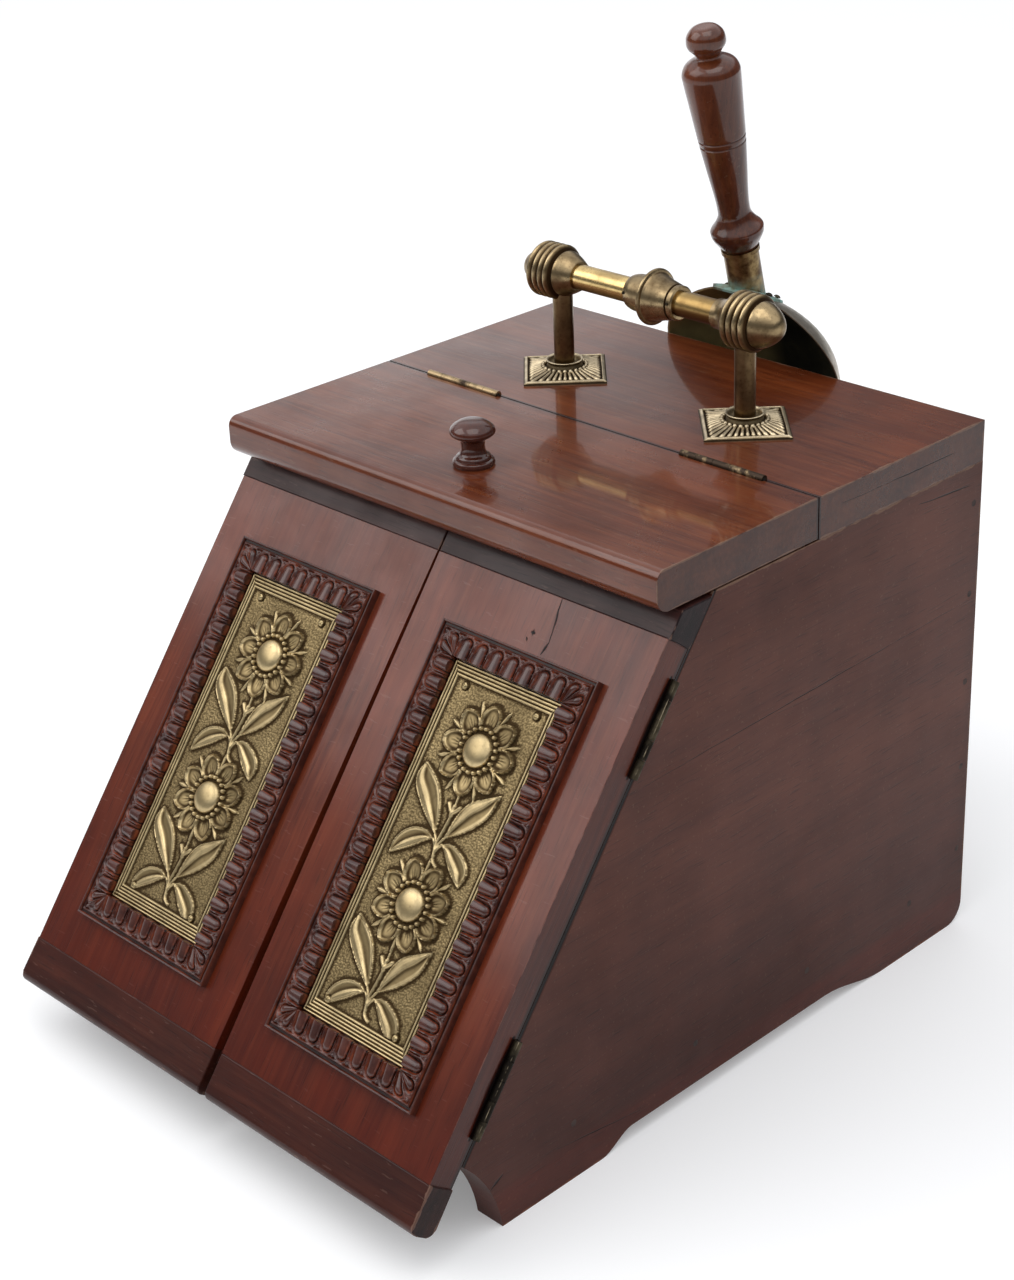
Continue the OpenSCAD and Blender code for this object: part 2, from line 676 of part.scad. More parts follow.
// A pressed flower: a ring of eight petals round a dome
module flower() {
  petal_half = petal_reach * 0.2;
  for (k = [0:7]) rotate([0, 0, 45 * k]) linear_extrude(1.4) polygon([
    [0, -petal_half * 0.6], [petal_reach * 0.6, -petal_half], [petal_reach * 0.85, -petal_half * 0.7], [petal_reach, 0],
    [petal_reach * 0.85, petal_half * 0.7], [petal_reach * 0.6, petal_half], [0, petal_half * 0.6]]);
  cylinder(h = 1.9, r = dome_r * 1.36);
  rotate_extrude() polygon(concat([[0, 0], [dome_r, 0]],
    [for (i = [0:8]) [dome_r * cos(90 * i / 8), 1.2 + (flower_h - 1.2) * sin(90 * i / 8)]]));
}
module plate_shape() {
  on_slope() translate([door_mid, frame_s, 0]) difference() {
    union() {
      translate([-plate_w / 2, -plate_l / 2, 0]) cube([plate_w, plate_l, plate_t]);
      for (s = [flower_up, -flower_down]) translate([0, s, plate_t - 0.2]) flower();
    }
    translate([-door_mid, -frame_s, 0]) plate_pin_sites() plate_pin(0.05);
  }
}
module plate_pin_sites() {
  for (i = [-1, 1], j = [-1, 1])
    translate([door_mid + i * (plate_w / 2 - plate_pin_side), frame_s + j * (plate_l / 2 - plate_pin_end), plate_t])
      children();
}
module plate_pin(clear) {
  translate([0, 0, -7 - clear]) cylinder(h = 7 + clear + 0.1, r = 0.7 + clear);
}
module plate_pins_shape() {
  head = plate_pin_head_d / 2;
  on_slope() plate_pin_sites() {
    plate_pin(0);
    rotate_extrude() polygon(concat([[0, 0]], [for (i = [0:6]) [head * cos(15 * i), head * 0.7 * sin(15 * i)]]));
  }
}
module right_door_panel() { color(mahogany) in_place() door_panel_shape(); }
module left_door_panel() { color(mahogany) in_place() to_left() door_panel_shape(); }
module right_door_top_clamp() { color(dark_mahogany) in_place() top_clamp_shape(); }
module left_door_top_clamp() { color(dark_mahogany) in_place() to_left() top_clamp_shape(); }
module right_door_bottom_clamp() { color(dark_mahogany) in_place() bottom_clamp_shape(); }
module left_door_bottom_clamp() { color(dark_mahogany) in_place() to_left() bottom_clamp_shape(); }
module right_door_moulding() { color(dark_mahogany) in_place() moulding_shape(); }
module left_door_moulding() { color(dark_mahogany) in_place() to_left() moulding_shape(); }
module right_door_plate() { color(old_brass) in_place() plate_shape(); }
module left_door_plate() { color(old_brass) in_place() to_left() plate_shape(); }
module right_plate_pins() { color(dark_brass) in_place() plate_pins_shape(); }
module left_plate_pins() { color(dark_brass) in_place() to_left() plate_pins_shape(); }

module side_leaf(s) { at_door_hinge(s) hinge_leaf(door_hinge_l, 0, side_leaf_y); }
module door_leaf(s) { at_door_hinge(s) hinge_leaf(door_hinge_l, 1, door_leaf_y); }
module right_upper_hinge_side_leaf() { color(dark_brass) in_place() side_leaf(door_hinge_high); }
module right_lower_hinge_side_leaf() { color(dark_brass) in_place() side_leaf(door_hinge_low); }
module right_upper_hinge_door_leaf() { color(dark_brass) in_place() door_leaf(door_hinge_high); }
module right_lower_hinge_door_leaf() { color(dark_brass) in_place() door_leaf(door_hinge_low); }
module left_upper_hinge_side_leaf() { color(dark_brass) in_place() to_left() side_leaf(door_hinge_high); }
module left_lower_hinge_side_leaf() { color(dark_brass) in_place() to_left() side_leaf(door_hinge_low); }
module left_upper_hinge_door_leaf() { color(dark_brass) in_place() to_left() door_leaf(door_hinge_high); }
module left_lower_hinge_door_leaf() { color(dark_brass) in_place() to_left() door_leaf(door_hinge_low); }
module door_hinge_pins() {
  color(black_iron) in_place() for (m = [0, 1], s = [door_hinge_low, door_hinge_high])
    mirror([m, 0, 0]) at_door_hinge(s) hinge_pin(door_hinge_l);
}

// ---- Carrying handle ----
module at_post(side) { translate([side * post_span / 2, -handle_fore, 0]) children(); }
module rosette_shape() {
  border = 1.4;
  translate([0, 0, box_h]) difference() {
    union() {
      // Square plate set cornerwise, with a bevelled border
      rotate([0, 0, 45]) intersection_for(turn = [0, 90])
        rotate([90, 0, turn]) linear_extrude(rosette_w, center = true)
          polygon([[-rosette_w / 2, 0], [rosette_w / 2, 0], [rosette_w / 2, border],
                   [rosette_w / 2 - border, 2 * border], [-rosette_w / 2 + border, 2 * border],
                   [-rosette_w / 2, border]]);
      // Mound rising to the collar
      rotate_extrude() polygon(concat(
        [[0, 0]],
        turned([[rosette_w * 0.44, border], [rosette_w * 0.36, 3.4], [rosette_w * 0.28, 4.6],
                [post_r + 5.2, rosette_h - 3]], 3),
        turned([[post_r + 5.2, rosette_h - 2.6], [post_r + 5.4, rosette_h - 1.4],
                [post_r + 4, rosette_h - 0.6], [post_r + 2, rosette_h]], 3),
        [[0, rosette_h]]));
    }
    translate([0, 0, post_foot]) cylinder(h = rosette_h, r = post_r + brass_fit);
    translate([0, 0, -over]) cylinder(h = rosette_h, r = stud_r + brass_fit);
  }
}
module post_shape() {
  bottom = box_h + post_foot;
  difference() {
    translate([0, 0, bottom]) cylinder(h = bar_z - post_head - bottom, r = post_r);
    translate([0, 0, bottom - over]) cylinder(h = bar_z - bottom, r = stud_r + brass_fit);
  }
}
module stud() { translate([0, 0, side_h - stud_below]) cylinder(h = bar_z + over - side_h + stud_below, r = stud_r); }
// Outlines of the bosses: radius, and distance along the bar from its middle
function ring_line(start) = concat(
  [for (k = [0:rings - 1], i = [0:4])
    [boss_r - ring_deep + ring_deep * sin(180 * i / 5), start + ring_w * (k + i / 5)]],
  [[boss_r - ring_deep, start + rings * ring_w]]);
function acorn_line(tip) = turned(
  [[boss_r - 3.8, tip + 0.6], [boss_r - 2.9, tip + acorn_l * 0.13], [boss_r - 3.2, tip + acorn_l * 0.33],
   [boss_r - 4.6, tip + acorn_l * 0.55], [boss_r - 7.6, tip + acorn_l * 0.8],
   [boss_r - 11.6, tip + acorn_l * 0.95], [0, tip + acorn_l]], 3);
function flare_line(tip) = turned(
  [[boss_r - 2.6, tip + 0.5], [boss_r - 5.2, tip + flare_l * 0.2], [boss_r - 7.1, tip + flare_l * 0.49],
   [boss_r - 8.5, tip + flare_l * 0.77], [boss_r - 10.4, tip + flare_l * 0.93], [0, tip + flare_l]], 3);
function right_boss_line() = concat(
  [[0, right_root]],
  turned([[bar_r + 1.2, right_root], [bar_r + 1.5, right_root + 4], [boss_r - 5.6, right_rings - 4],
          [boss_r - 2.6, right_rings - 0.6]], 3),
  ring_line(right_rings), acorn_line(right_rings + rings * ring_w));
function left_boss_line() = concat(
  [[0, left_root]],
  turned([[bar_r + 1.3, left_root], [bar_r + 2, left_root + 1], [boss_r - 5, left_root + 5],
          [boss_r - 3.2, left_root + 9.4], [boss_r - 3, left_rings - 1.8]], 3),
  [[boss_r - 3.9, left_rings - 0.8]],
  ring_line(left_rings), flare_line(left_rings + rings * ring_w));
// Boss of the given outline, growing to the right, with its socket for the bar and seat for the post
module boss_shape(outline, root) {
  difference() {
    translate([0, -handle_fore, bar_z]) rotate([0, 90, 0]) rotate_extrude() polygon(outline);
    translate([root - over, -handle_fore, bar_z]) rotate([0, 90, 0])
      cylinder(h = bar_half - root + over + 0.3, r = bar_r + brass_fit);
    at_post(1) {
      translate([0, 0, bar_z - post_head - boss_r]) cylinder(h = boss_r, r = post_r + brass_fit);
      translate([0, 0, bar_z - boss_r]) cylinder(h = boss_r + over + 0.3, r = stud_r + brass_fit);
    }
  }
}
module collar_pin_sites() {
  for (x = collar_pin_x)
    translate([x, -handle_fore, bar_z]) rotate([90 - collar_pin_lift, 0, 0])
      translate([0, 0, bar_r - bar_wall]) children();
}
module collar_pin_run(clear) { cylinder(h = collar_pin_top - bar_r + bar_wall + clear, r = collar_pin_r + clear); }
module bar_collar() {
  color(old_brass) in_place() difference() {
    // Barrel, thin flange, bell and end ring
    translate([0, -handle_fore, bar_z]) rotate([0, 90, 0]) rotate_extrude() polygon(concat(
      [[0, collar_left]],
      turned([[bar_r + 1.6, collar_left], [bar_r + 2.7, -12], [bar_r + 3.4, -9], [bar_r + 3.8, -4],
              [bar_r + 4.2, 2]], 3),
      turned([[collar_r - 0.9, 2.8], [collar_r - 0.1, 3.3], [collar_r, 4], [collar_r - 0.5, 4.8],
              [collar_r - 2, 5.2]], 2),
      turned([[collar_r - 2.6, 6.2], [collar_r - 3.4, 9], [bar_r + 4.6, 13], [bar_r + 3.7, 17],
              [bar_r + 3.1, 19.5]], 3),
      [[bar_r + 2.2, 20], [bar_r + 2.8, 20.6], [bar_r + 2.7, collar_right - 0.8],
       [bar_r + 1.7, collar_right], [0, collar_right]]));
    translate([collar_left - over, -handle_fore, bar_z]) rotate([0, 90, 0])
      cylinder(h = collar_right - collar_left + 2 * over, r = bar_r + brass_fit);
    collar_pin_sites() collar_pin_run(brass_fit);
  }
}
module collar_pins() { color(dark_brass) in_place() collar_pin_sites() collar_pin_run(0); }
module handle_bar() {
  color(old_brass) in_place() difference() {
    translate([-bar_half, -handle_fore, bar_z]) rotate([0, 90, 0]) cylinder(h = 2 * bar_half, r = bar_r);
    translate([-bar_half - over, -handle_fore, bar_z]) rotate([0, 90, 0])
      cylinder(h = 2 * bar_half + 2 * over, r = bar_r - bar_wall);
    collar_pin_sites() collar_pin_run(brass_fit);
  }
}
module right_boss() { color(old_brass) in_place() boss_shape(right_boss_line(), right_root); }
module left_boss() { color(old_brass) in_place() to_left() boss_shape(left_boss_line(), left_root); }
module right_rosette() { color(old_brass) in_place() at_post(1) rosette_shape(); }
module left_rosette() { color(old_brass) in_place() at_post(-1) rosette_shape(); }
module right_post() { color(old_brass) in_place() at_post(1) post_shape(); }
module left_post() { color(old_brass) in_place() at_post(-1) post_shape(); }
module handle_studs() { color(black_iron) in_place() for (side = [-1, 1]) at_post(side) stud(); }
module stud_nuts() {
  color(black_iron) in_place() for (side = [-1, 1]) at_post(side) difference() {
    union() {
      translate([0, 0, side_h - washer_t]) cylinder(h = washer_t, r = washer_r);
      translate([0, 0, side_h - washer_t - nut_t]) cylinder(h = nut_t, r = nut_r, $fn = 6);
    }
    translate([0, 0, side_h - stud_below]) cylinder(h = stud_below + over, r = stud_r + brass_fit);
  }
}

// ---- Scoop: drawn upright with its mouth in the plane y = 0, then leant forward ----
// A solid of the bowl's outer or inner form, turned about a line in front of the mouth
module bowl_form(d, l) {
  translate([0, -bowl_off, 0]) rotate_extrude($fn = 120) polygon(concat(
    [[0, -lip_down - 2 * over], [bowl_off + d + lip_flare, -lip_down - 2 * over]],
    [for (i = [0:dome_steps])
      let (v = dome_start + l * i / dome_steps)
      [bowl_off + dome_in(v, d, l), v]],
    [[0, dome_start + l]]));
}
module bowl_outer(grow) { bowl_form(bowl_d + sheet_t + grow, dome_l + sheet_t + grow); }
module behind_mouth() { translate([-far / 2, 0, -far / 2]) cube([far, far, far]); }
// The bowl's plan from the front: straight sides and a round lip
module lip_plan() {
  rotate([90, 0, 0]) linear_extrude(far, center = true) {
    translate([0, -lip_down + lip_half]) circle(lip_half, $fn = 120);
    translate([-lip_half - over, -lip_down + lip_half]) square([2 * lip_half + 2 * over, lip_down + far / 4]);
  }
}
module scoop_bowl_solid() {
  intersection() {
    difference() {
      bowl_outer(0);
      bowl_form(bowl_d, dome_l);
    }
    behind_mouth();
    lip_plan();
  }
}
module at_rivets() {
  for (turn = [0:45:180]) {
    x = rivet_ring * cos(turn);
    y = grip_in + rivet_ring * sin(turn) + bowl_off;
    d = norm([x, y]) - bowl_off;
    v = dome_v(d);
    steep = atan(dome_power * bowl_d / dome_l * pow((v - dome_start) / dome_l, dome_power - 1));
    translate([0, -bowl_off, 0]) rotate([0, 0, -atan2(x, y)])
      translate([0, bowl_off + d, v]) rotate([steep - 90, 0, 0]) children();
  }
}
module rivet_hole(clear) { translate([0, 0, -3]) cylinder(h = 3 + socket_foot_t, r = rivet_r + clear); }
module scoop_bowl() {
  color(dark_brass) in_place() on_scoop() difference() {
    scoop_bowl_solid();
    at_rivets() rivet_hole(brass_fit);
  }
}
module scoop_socket() {
  color(dark_brass) in_place() on_scoop() difference() {
    union() {
      translate([0, grip_in, 0]) cylinder(h = socket_up, r = socket_r);
      translate([0, grip_in, socket_up - 2.6]) cylinder(h = 2.6, r = socket_r + 1);
      intersection() {
        bowl_outer(socket_foot_t);
        translate([0, grip_in, 0]) cylinder(h = far, r = socket_foot_r);
        translate([-far / 2, -grip_in, 0]) cube(far);
      }
    }
    bowl_outer(0);
    translate([0, grip_in, socket_up - tenon_l - over]) cylinder(h = far, r = socket_r - socket_wall);
    at_rivets() rivet_hole(brass_fit);
  }
}
module scoop_rivets() {
  head = rivet_head_r;
  color(dark_brass) in_place() on_scoop() at_rivets() {
    translate([0, 0, -2.2]) cylinder(h = 2.3 + socket_foot_t, r = rivet_r);
    translate([0, 0, socket_foot_t + 0.1]) rotate_extrude()
      polygon(concat([[0, 0]], [for (i = [0:6]) [head * cos(15 * i), head * 0.7 * sin(15 * i)]]));
  }
}
module scoop_grip() {
  k = grip_l / 140;
  color(mahogany) in_place() on_scoop() translate([0, grip_in, socket_up]) {
    rotate_extrude() polygon(concat(
      [[0, 0], [socket_r, 0]],
      turned([[socket_r + 0.6, 1.2 * k], [socket_r + 4.6, 8 * k], [grip_r - 0.9, 11.5 * k],
              [grip_r - 1.4, 13.6 * k], [grip_r - 4.6, 17.5 * k], [grip_r - 6.9, 22 * k],
              [grip_r - 7.3, 27 * k], [grip_r - 6.7, 36 * k], [grip_r - 4.9, 52 * k],
              [grip_r - 3.2, 68 * k]], 3),
      [[grip_r - 3.7, 68.6 * k], [grip_r - 3.1, 69.3 * k], [grip_r - 2.9, 71.6 * k],
       [grip_r - 3.4, 72.2 * k], [grip_r - 2.8, 72.9 * k]],
      turned([[grip_r - 2.7, 73.4 * k], [grip_r - 1.3, 92 * k], [grip_r, 109 * k], [grip_r - 0.1, 113.5 * k],
              [grip_r - 2.2, 117.5 * k], [grip_r - 6, 120 * k], [grip_r - 9.6, 121.8 * k],
              [grip_r - 9.7, 123.4 * k], [grip_r - 8.4, 125.4 * k], [grip_r - 5.9, 128.6 * k],
              [grip_r - 5.5, 132 * k], [grip_r - 6.6, 136 * k], [grip_r - 10.5, 139.6 * k], [0, grip_l]], 3)));
    translate([0, 0, -tenon_l]) cylinder(h = tenon_l + over, r = socket_r - socket_wall - brass_fit);
  }
}

left_side();
right_side();
back_panel();
floor_board();
kerb_rail();
rear_top();
coal_lining();
carcase_nails();
pocket_left_cheek();
pocket_right_cheek();
pocket_back_board();
pocket_shelf();
left_rosette();
right_rosette();
left_post();
right_post();
handle_bar();
left_boss();
right_boss();
bar_collar();
collar_pins();
handle_studs();
stud_nuts();
lid_board();
lid_knob();
left_lid_hinge_rear_leaf();
right_lid_hinge_rear_leaf();
left_lid_hinge_front_leaf();
right_lid_hinge_front_leaf();
lid_hinge_pins();
left_door_panel();
left_door_top_clamp();
left_door_bottom_clamp();
left_door_moulding();
left_door_plate();
left_plate_pins();
right_door_panel();
right_door_top_clamp();
right_door_bottom_clamp();
right_door_moulding();
right_door_plate();
right_plate_pins();
left_upper_hinge_side_leaf();
left_lower_hinge_side_leaf();
left_upper_hinge_door_leaf();
left_lower_hinge_door_leaf();
right_upper_hinge_side_leaf();
right_lower_hinge_side_leaf();
right_upper_hinge_door_leaf();
right_lower_hinge_door_leaf();
door_hinge_pins();
scoop_grip();
scoop_socket();
scoop_bowl();
scoop_rivets();
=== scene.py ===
# A fireside coal scuttle of the late nineteenth century: a slope-fronted mahogany box with a hinged
# lid flap, a pair of sloping doors with stamped brass plates in carved frames, a brass carrying
# handle, and a brass hand scoop with a turned grip that stands in a pocket on the back.
# Sizes are millimetres in the part's own frame and become metres where a mesh is made.
import math

import bmesh
import bpy
import numpy as np
from mathutils import Matrix, Vector


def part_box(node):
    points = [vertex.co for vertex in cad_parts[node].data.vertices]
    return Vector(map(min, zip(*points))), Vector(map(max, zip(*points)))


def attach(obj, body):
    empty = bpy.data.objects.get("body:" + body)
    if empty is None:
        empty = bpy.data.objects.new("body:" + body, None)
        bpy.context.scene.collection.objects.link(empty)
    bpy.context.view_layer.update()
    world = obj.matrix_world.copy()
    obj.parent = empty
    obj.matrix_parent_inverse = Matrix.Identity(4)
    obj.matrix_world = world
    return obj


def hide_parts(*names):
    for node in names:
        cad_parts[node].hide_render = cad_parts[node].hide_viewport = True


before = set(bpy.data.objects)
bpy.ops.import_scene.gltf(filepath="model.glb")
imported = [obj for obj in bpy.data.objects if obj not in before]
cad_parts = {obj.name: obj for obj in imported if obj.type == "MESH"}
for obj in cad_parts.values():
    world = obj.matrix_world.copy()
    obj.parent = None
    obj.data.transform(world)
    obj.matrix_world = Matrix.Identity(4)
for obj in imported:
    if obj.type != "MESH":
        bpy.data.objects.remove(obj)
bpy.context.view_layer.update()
MM = 0.001
SHIFT_Y = 190.024  # from the box's own back to the middle of the whole piece
TOP_Z = 333  # the top of the box and of its lid

# ---- The camera ----
# It stands to the right of the front, a little over a metre off and looking down, turned slightly
# in the hand. The long side of the picture is the upright one.
camera = bpy.data.objects.new("camera", bpy.data.cameras.new("camera"))
bpy.context.scene.collection.objects.link(camera)
looking = Vector((-0.6517, 0.6193, -0.4378)).normalized()
level_right = looking.cross(Vector((0, 0, 1))).normalized()
level_up = level_right.cross(looking)
roll = math.radians(-2.431)
held_right = math.cos(roll) * level_right + math.sin(roll) * level_up
held_up = -math.sin(roll) * level_right + math.cos(roll) * level_up
camera.matrix_world = Matrix.Translation((0.91495, -0.898926, 0.83517)) @ Matrix(
    (held_right, held_up, -looking)).transposed().to_4x4()
camera.data.lens = 68.43
camera.data.sensor_width = 36
bpy.context.scene.camera = camera
bpy.context.scene.view_settings.view_transform = "Standard"


# ---- The floor and the light ----
# A plain white floor in a pale studio, with one large soft lamp high at the front left and another
# overhead. A white screen at the back left lays its haze on the lid, and low down the room is kept
# dark, so that polished wood keeps its red. What the camera sees of floor and room is near white.
def add(tree, kind, inputs=None, **settings):
    """A node with its settings, and its inputs by name or number: a plain value, or another's output."""
    made = tree.nodes.new(kind)
    for name, value in settings.items():
        setattr(made, name, value)
    for name, value in (inputs or {}).items():
        if isinstance(value, bpy.types.NodeSocket):
            tree.links.new(value, made.inputs[name])
        else:
            made.inputs[name].default_value = value
    return made


def maths(tree, operation, *values, clamp=False):
    made = add(tree, "ShaderNodeMath", dict(enumerate(values)), operation=operation, use_clamp=clamp)
    return made.outputs[0]


def vectors(tree, operation, *values, scale=None):
    """A sum of vectors; a dot product or a distance gives a plain value."""
    inputs = dict(enumerate(values))
    if scale is not None:
        inputs["Scale"] = scale
    made = add(tree, "ShaderNodeVectorMath", inputs, operation=operation)
    return made.outputs["Value" if operation in ("DOT_PRODUCT", "DISTANCE") else 0]


def seen(tree):
    """1 for what the camera, a reflection or a see-through surface shows, 0 for the light itself."""
    path = add(tree, "ShaderNodeLightPath")
    either = maths(tree, "MAXIMUM", path.outputs["Is Camera Ray"], path.outputs["Is Glossy Ray"])
    return maths(tree, "MAXIMUM", either, path.outputs["Is Transmission Ray"])


room = bpy.data.worlds.new("pale room")
room.use_nodes = True
room.node_tree.nodes.clear()
bpy.context.scene.world = room
towards = add(room.node_tree, "ShaderNodeTexCoord").outputs["Generated"]
height = add(room.node_tree, "ShaderNodeSeparateXYZ", {0: towards}).outputs["Z"]
walls = add(room.node_tree, "ShaderNodeValToRGB", {0: height})
walls.color_ramp.elements[0].position = 0.39
walls.color_ramp.elements[0].color = (0.13, 0.135, 0.145, 1)
walls.color_ramp.elements[1].position = 0.54
walls.color_ramp.elements[1].color = (1.0, 1.02, 1.06, 1)
level = vectors(room.node_tree, "NORMALIZE", vectors(room.node_tree, "MULTIPLY", towards, (1, 1, 0)))
facing = vectors(room.node_tree, "DOT_PRODUCT", level, (-0.906, 0.423, 0))
screen = add(room.node_tree, "ShaderNodeMapRange", {"Value": facing, "From Min": 0.895, "From Max": 0.945})
screen_top = add(room.node_tree, "ShaderNodeMapRange", {"Value": height, "From Min": 0.395, "From Max": 0.32})
patch = maths(room.node_tree, "MULTIPLY", screen.outputs[0], screen_top.outputs[0])
glow = vectors(room.node_tree, "SCALE", (1, 1, 1), scale=patch)
light = vectors(room.node_tree, "ADD", walls.outputs[0], glow)
direct = add(room.node_tree, "ShaderNodeLightPath").outputs["Is Camera Ray"]
shown = add(room.node_tree, "ShaderNodeMix", {0: direct, 6: light, 7: (1, 1, 1, 1)}, data_type="RGBA")
lit = add(room.node_tree, "ShaderNodeBackground", {"Color": shown.outputs[2], "Strength": 1.0})
add(room.node_tree, "ShaderNodeOutputWorld", {"Surface": lit.outputs[0]})


def lamp(name, place, aim, size, watts, colour):
    made = bpy.data.objects.new(name, bpy.data.lights.new(name, "AREA"))
    bpy.context.scene.collection.objects.link(made)
    made.data.shape = "SQUARE"
    made.data.size = size
    made.data.energy = watts
    made.data.color = colour
    made.matrix_world = Matrix.Translation(place) @ (
        (Vector(aim) - Vector(place)).to_track_quat("-Z", "Y").to_matrix().to_4x4())


lamp("front_left_soft_lamp", (-1.75, -1.8, 2.5), (0, 0, 0.2), 2.4, 34, (1.0, 0.99, 0.975))
lamp("high_soft_lamp", (0.6, -0.5, 3.2), (0, 0, 0.2), 2.0, 22, (1.0, 0.99, 0.975))

white = bpy.data.materials.new("white_floor")
white.use_nodes = True
white.node_tree.nodes.clear()
matt = add(white.node_tree, "ShaderNodeBsdfDiffuse", {"Color": (0.80, 0.80, 0.80, 1)})
lift = add(white.node_tree, "ShaderNodeEmission", {
    "Color": (1, 1, 1, 1), "Strength": maths(white.node_tree, "MULTIPLY", seen(white.node_tree), 0.24)})
both = add(white.node_tree, "ShaderNodeAddShader", {0: matt.outputs[0], 1: lift.outputs[0]})
add(white.node_tree, "ShaderNodeOutputMaterial", {"Surface": both.outputs[0]})
ring = bmesh.new()
bmesh.ops.create_circle(ring, cap_ends=True, radius=9, segments=96)
floor = bpy.data.objects.new("floor", bpy.data.meshes.new("floor"))
ring.to_mesh(floor.data)
ring.free()
floor.data.materials.append(white)
bpy.context.scene.collection.objects.link(floor)


# ---- The carcase: sides, back, floor, kerb and the fixed rear top ----
# Solid mahogany boards outside and deal inside, sawn, planed and nailed, stained and French
# polished. The top is kept bright, and the sides have gone brown and dull. Each board is the
# solid's own shape with its arrises eased, and each has its own run of grain.
def tree_of(name, takes, gives, sort="ShaderNodeTree"):
    """A group with named inputs and outputs: its tree, the inputs' node and the outputs' node."""
    tree = bpy.data.node_groups.new(name, sort)
    for label, kind, value in takes:
        socket = tree.interface.new_socket(label, in_out="INPUT", socket_type="NodeSocket" + kind)
        if value is not None:
            socket.default_value = value
    for label, kind in gives:
        tree.interface.new_socket(label, in_out="OUTPUT", socket_type="NodeSocket" + kind)
    return tree, add(tree, "NodeGroupInput"), add(tree, "NodeGroupOutput")


def stretched(tree, vector, scale):
    return vectors(tree, "MULTIPLY", vector, scale)


def noise(tree, vector, scale, detail=2.0, roughness=0.5):
    made = add(tree, "ShaderNodeTexNoise", {
        "Vector": vector, "Scale": scale, "Detail": detail, "Roughness": roughness})
    return made.outputs["Fac"]


def spread(tree, value, low, high, to_low=0.0, to_high=1.0):
    made = add(tree, "ShaderNodeMapRange", {
        "Value": value, "From Min": low, "From Max": high, "To Min": to_low, "To Max": to_high})
    return made.outputs[0]


def between(tree, factor, first, second, blend="MIX"):
    made = add(tree, "ShaderNodeMix", {0: factor, 6: first, 7: second}, data_type="RGBA", blend_type=blend)
    return made.outputs[2]


# Grain of a board that runs along the first axis of its coordinates
grain, taken, given = tree_of("board_grain", [
    ("Vector", "Vector", None), ("Dark", "Color", None), ("Middle", "Color", None), ("Pale", "Color", None),
    ("Streaks", "Float", 0.5), ("Pores", "Float", 0.5), ("Figure", "Float", 0.3)],
    [("Color", "Color"), ("Height", "Float")])
at = taken.outputs["Vector"]
sway = add(grain, "ShaderNodeTexNoise", {
    "Vector": stretched(grain, at, (0.3, 1, 1)), "Scale": 11, "Detail": 2})
lean = vectors(grain, "SUBTRACT", sway.outputs["Color"], (0.5, 0.5, 0.5))
at = vectors(grain, "MULTIPLY_ADD", lean, (0.0, 0.016, 0.016), at)
broad = spread(grain, noise(grain, stretched(grain, at, (0.10, 1, 1)), 46, 4, 0.55), 0.34, 0.66)
streak = spread(grain, noise(grain, stretched(grain, at, (0.035, 1, 1)), 300, 3, 0.6), 0.42, 0.72)
pore = spread(grain, noise(grain, stretched(grain, at, (0.045, 1, 1)), 1350, 1, 0.4), 0.60, 0.72)
ribbon = spread(grain, noise(grain, stretched(grain, at, (1, 0.3, 0.3)), 34, 2, 0.5), 0.35, 0.65)
colour = between(grain, broad, taken.outputs["Dark"], taken.outputs["Middle"])
colour = between(grain, maths(grain, "MULTIPLY", streak, taken.outputs["Streaks"]), colour,
                 taken.outputs["Pale"])
shade = maths(grain, "MULTIPLY_ADD", maths(grain, "MULTIPLY", ribbon, taken.outputs["Figure"]), -0.55, 1.0)
shade = maths(grain, "MULTIPLY", shade, maths(
    grain, "MULTIPLY_ADD", maths(grain, "MULTIPLY", pore, taken.outputs["Pores"]), -0.7, 1.0))
grain.links.new(vectors(grain, "SCALE", colour, scale=shade), given.inputs["Color"])
grain.links.new(maths(grain, "MULTIPLY_ADD", streak, 0.4, maths(
    grain, "MULTIPLY", pore, -0.8)), given.inputs["Height"])

# Wear along a board's arrises: the middle one of a point's three distances to the board's faces is
# its distance from the nearest edge
wear, taken, given = tree_of("arris_wear", [
    ("Vector", "Vector", None), ("Low", "Vector", None), ("High", "Vector", None), ("Width", "Float", 0.002),
    ("Break", "Float", 70.0)], [("Edge", "Float"), ("Near", "Float")])
from_low = vectors(wear, "SUBTRACT", taken.outputs["Vector"], taken.outputs["Low"])
to_high = vectors(wear, "SUBTRACT", taken.outputs["High"], taken.outputs["Vector"])
sides = add(wear, "ShaderNodeSeparateXYZ", {0: vectors(wear, "MINIMUM", from_low, to_high)})
smaller = maths(wear, "MINIMUM", sides.outputs[0], sides.outputs[1])
larger = maths(wear, "MAXIMUM", sides.outputs[0], sides.outputs[1])
edge = maths(wear, "MAXIMUM", smaller, maths(wear, "MINIMUM", larger, sides.outputs[2]))
ragged = spread(wear, noise(wear, taken.outputs["Vector"], taken.outputs["Break"], 4, 0.62), 0.36, 0.70,
                0.02, 1.9)
reach = maths(wear, "MULTIPLY", taken.outputs["Width"], ragged)
worn = maths(wear, "SUBTRACT", 1.0, maths(wear, "DIVIDE", edge, reach), clamp=True)
wear.links.new(maths(wear, "MULTIPLY", worn, 3.0, clamp=True), given.inputs["Edge"])
wear.links.new(maths(wear, "SUBTRACT", 1.0, maths(
    wear, "DIVIDE", edge, maths(wear, "MULTIPLY", taken.outputs["Width"], 9.0)), clamp=True),
    given.inputs["Near"])

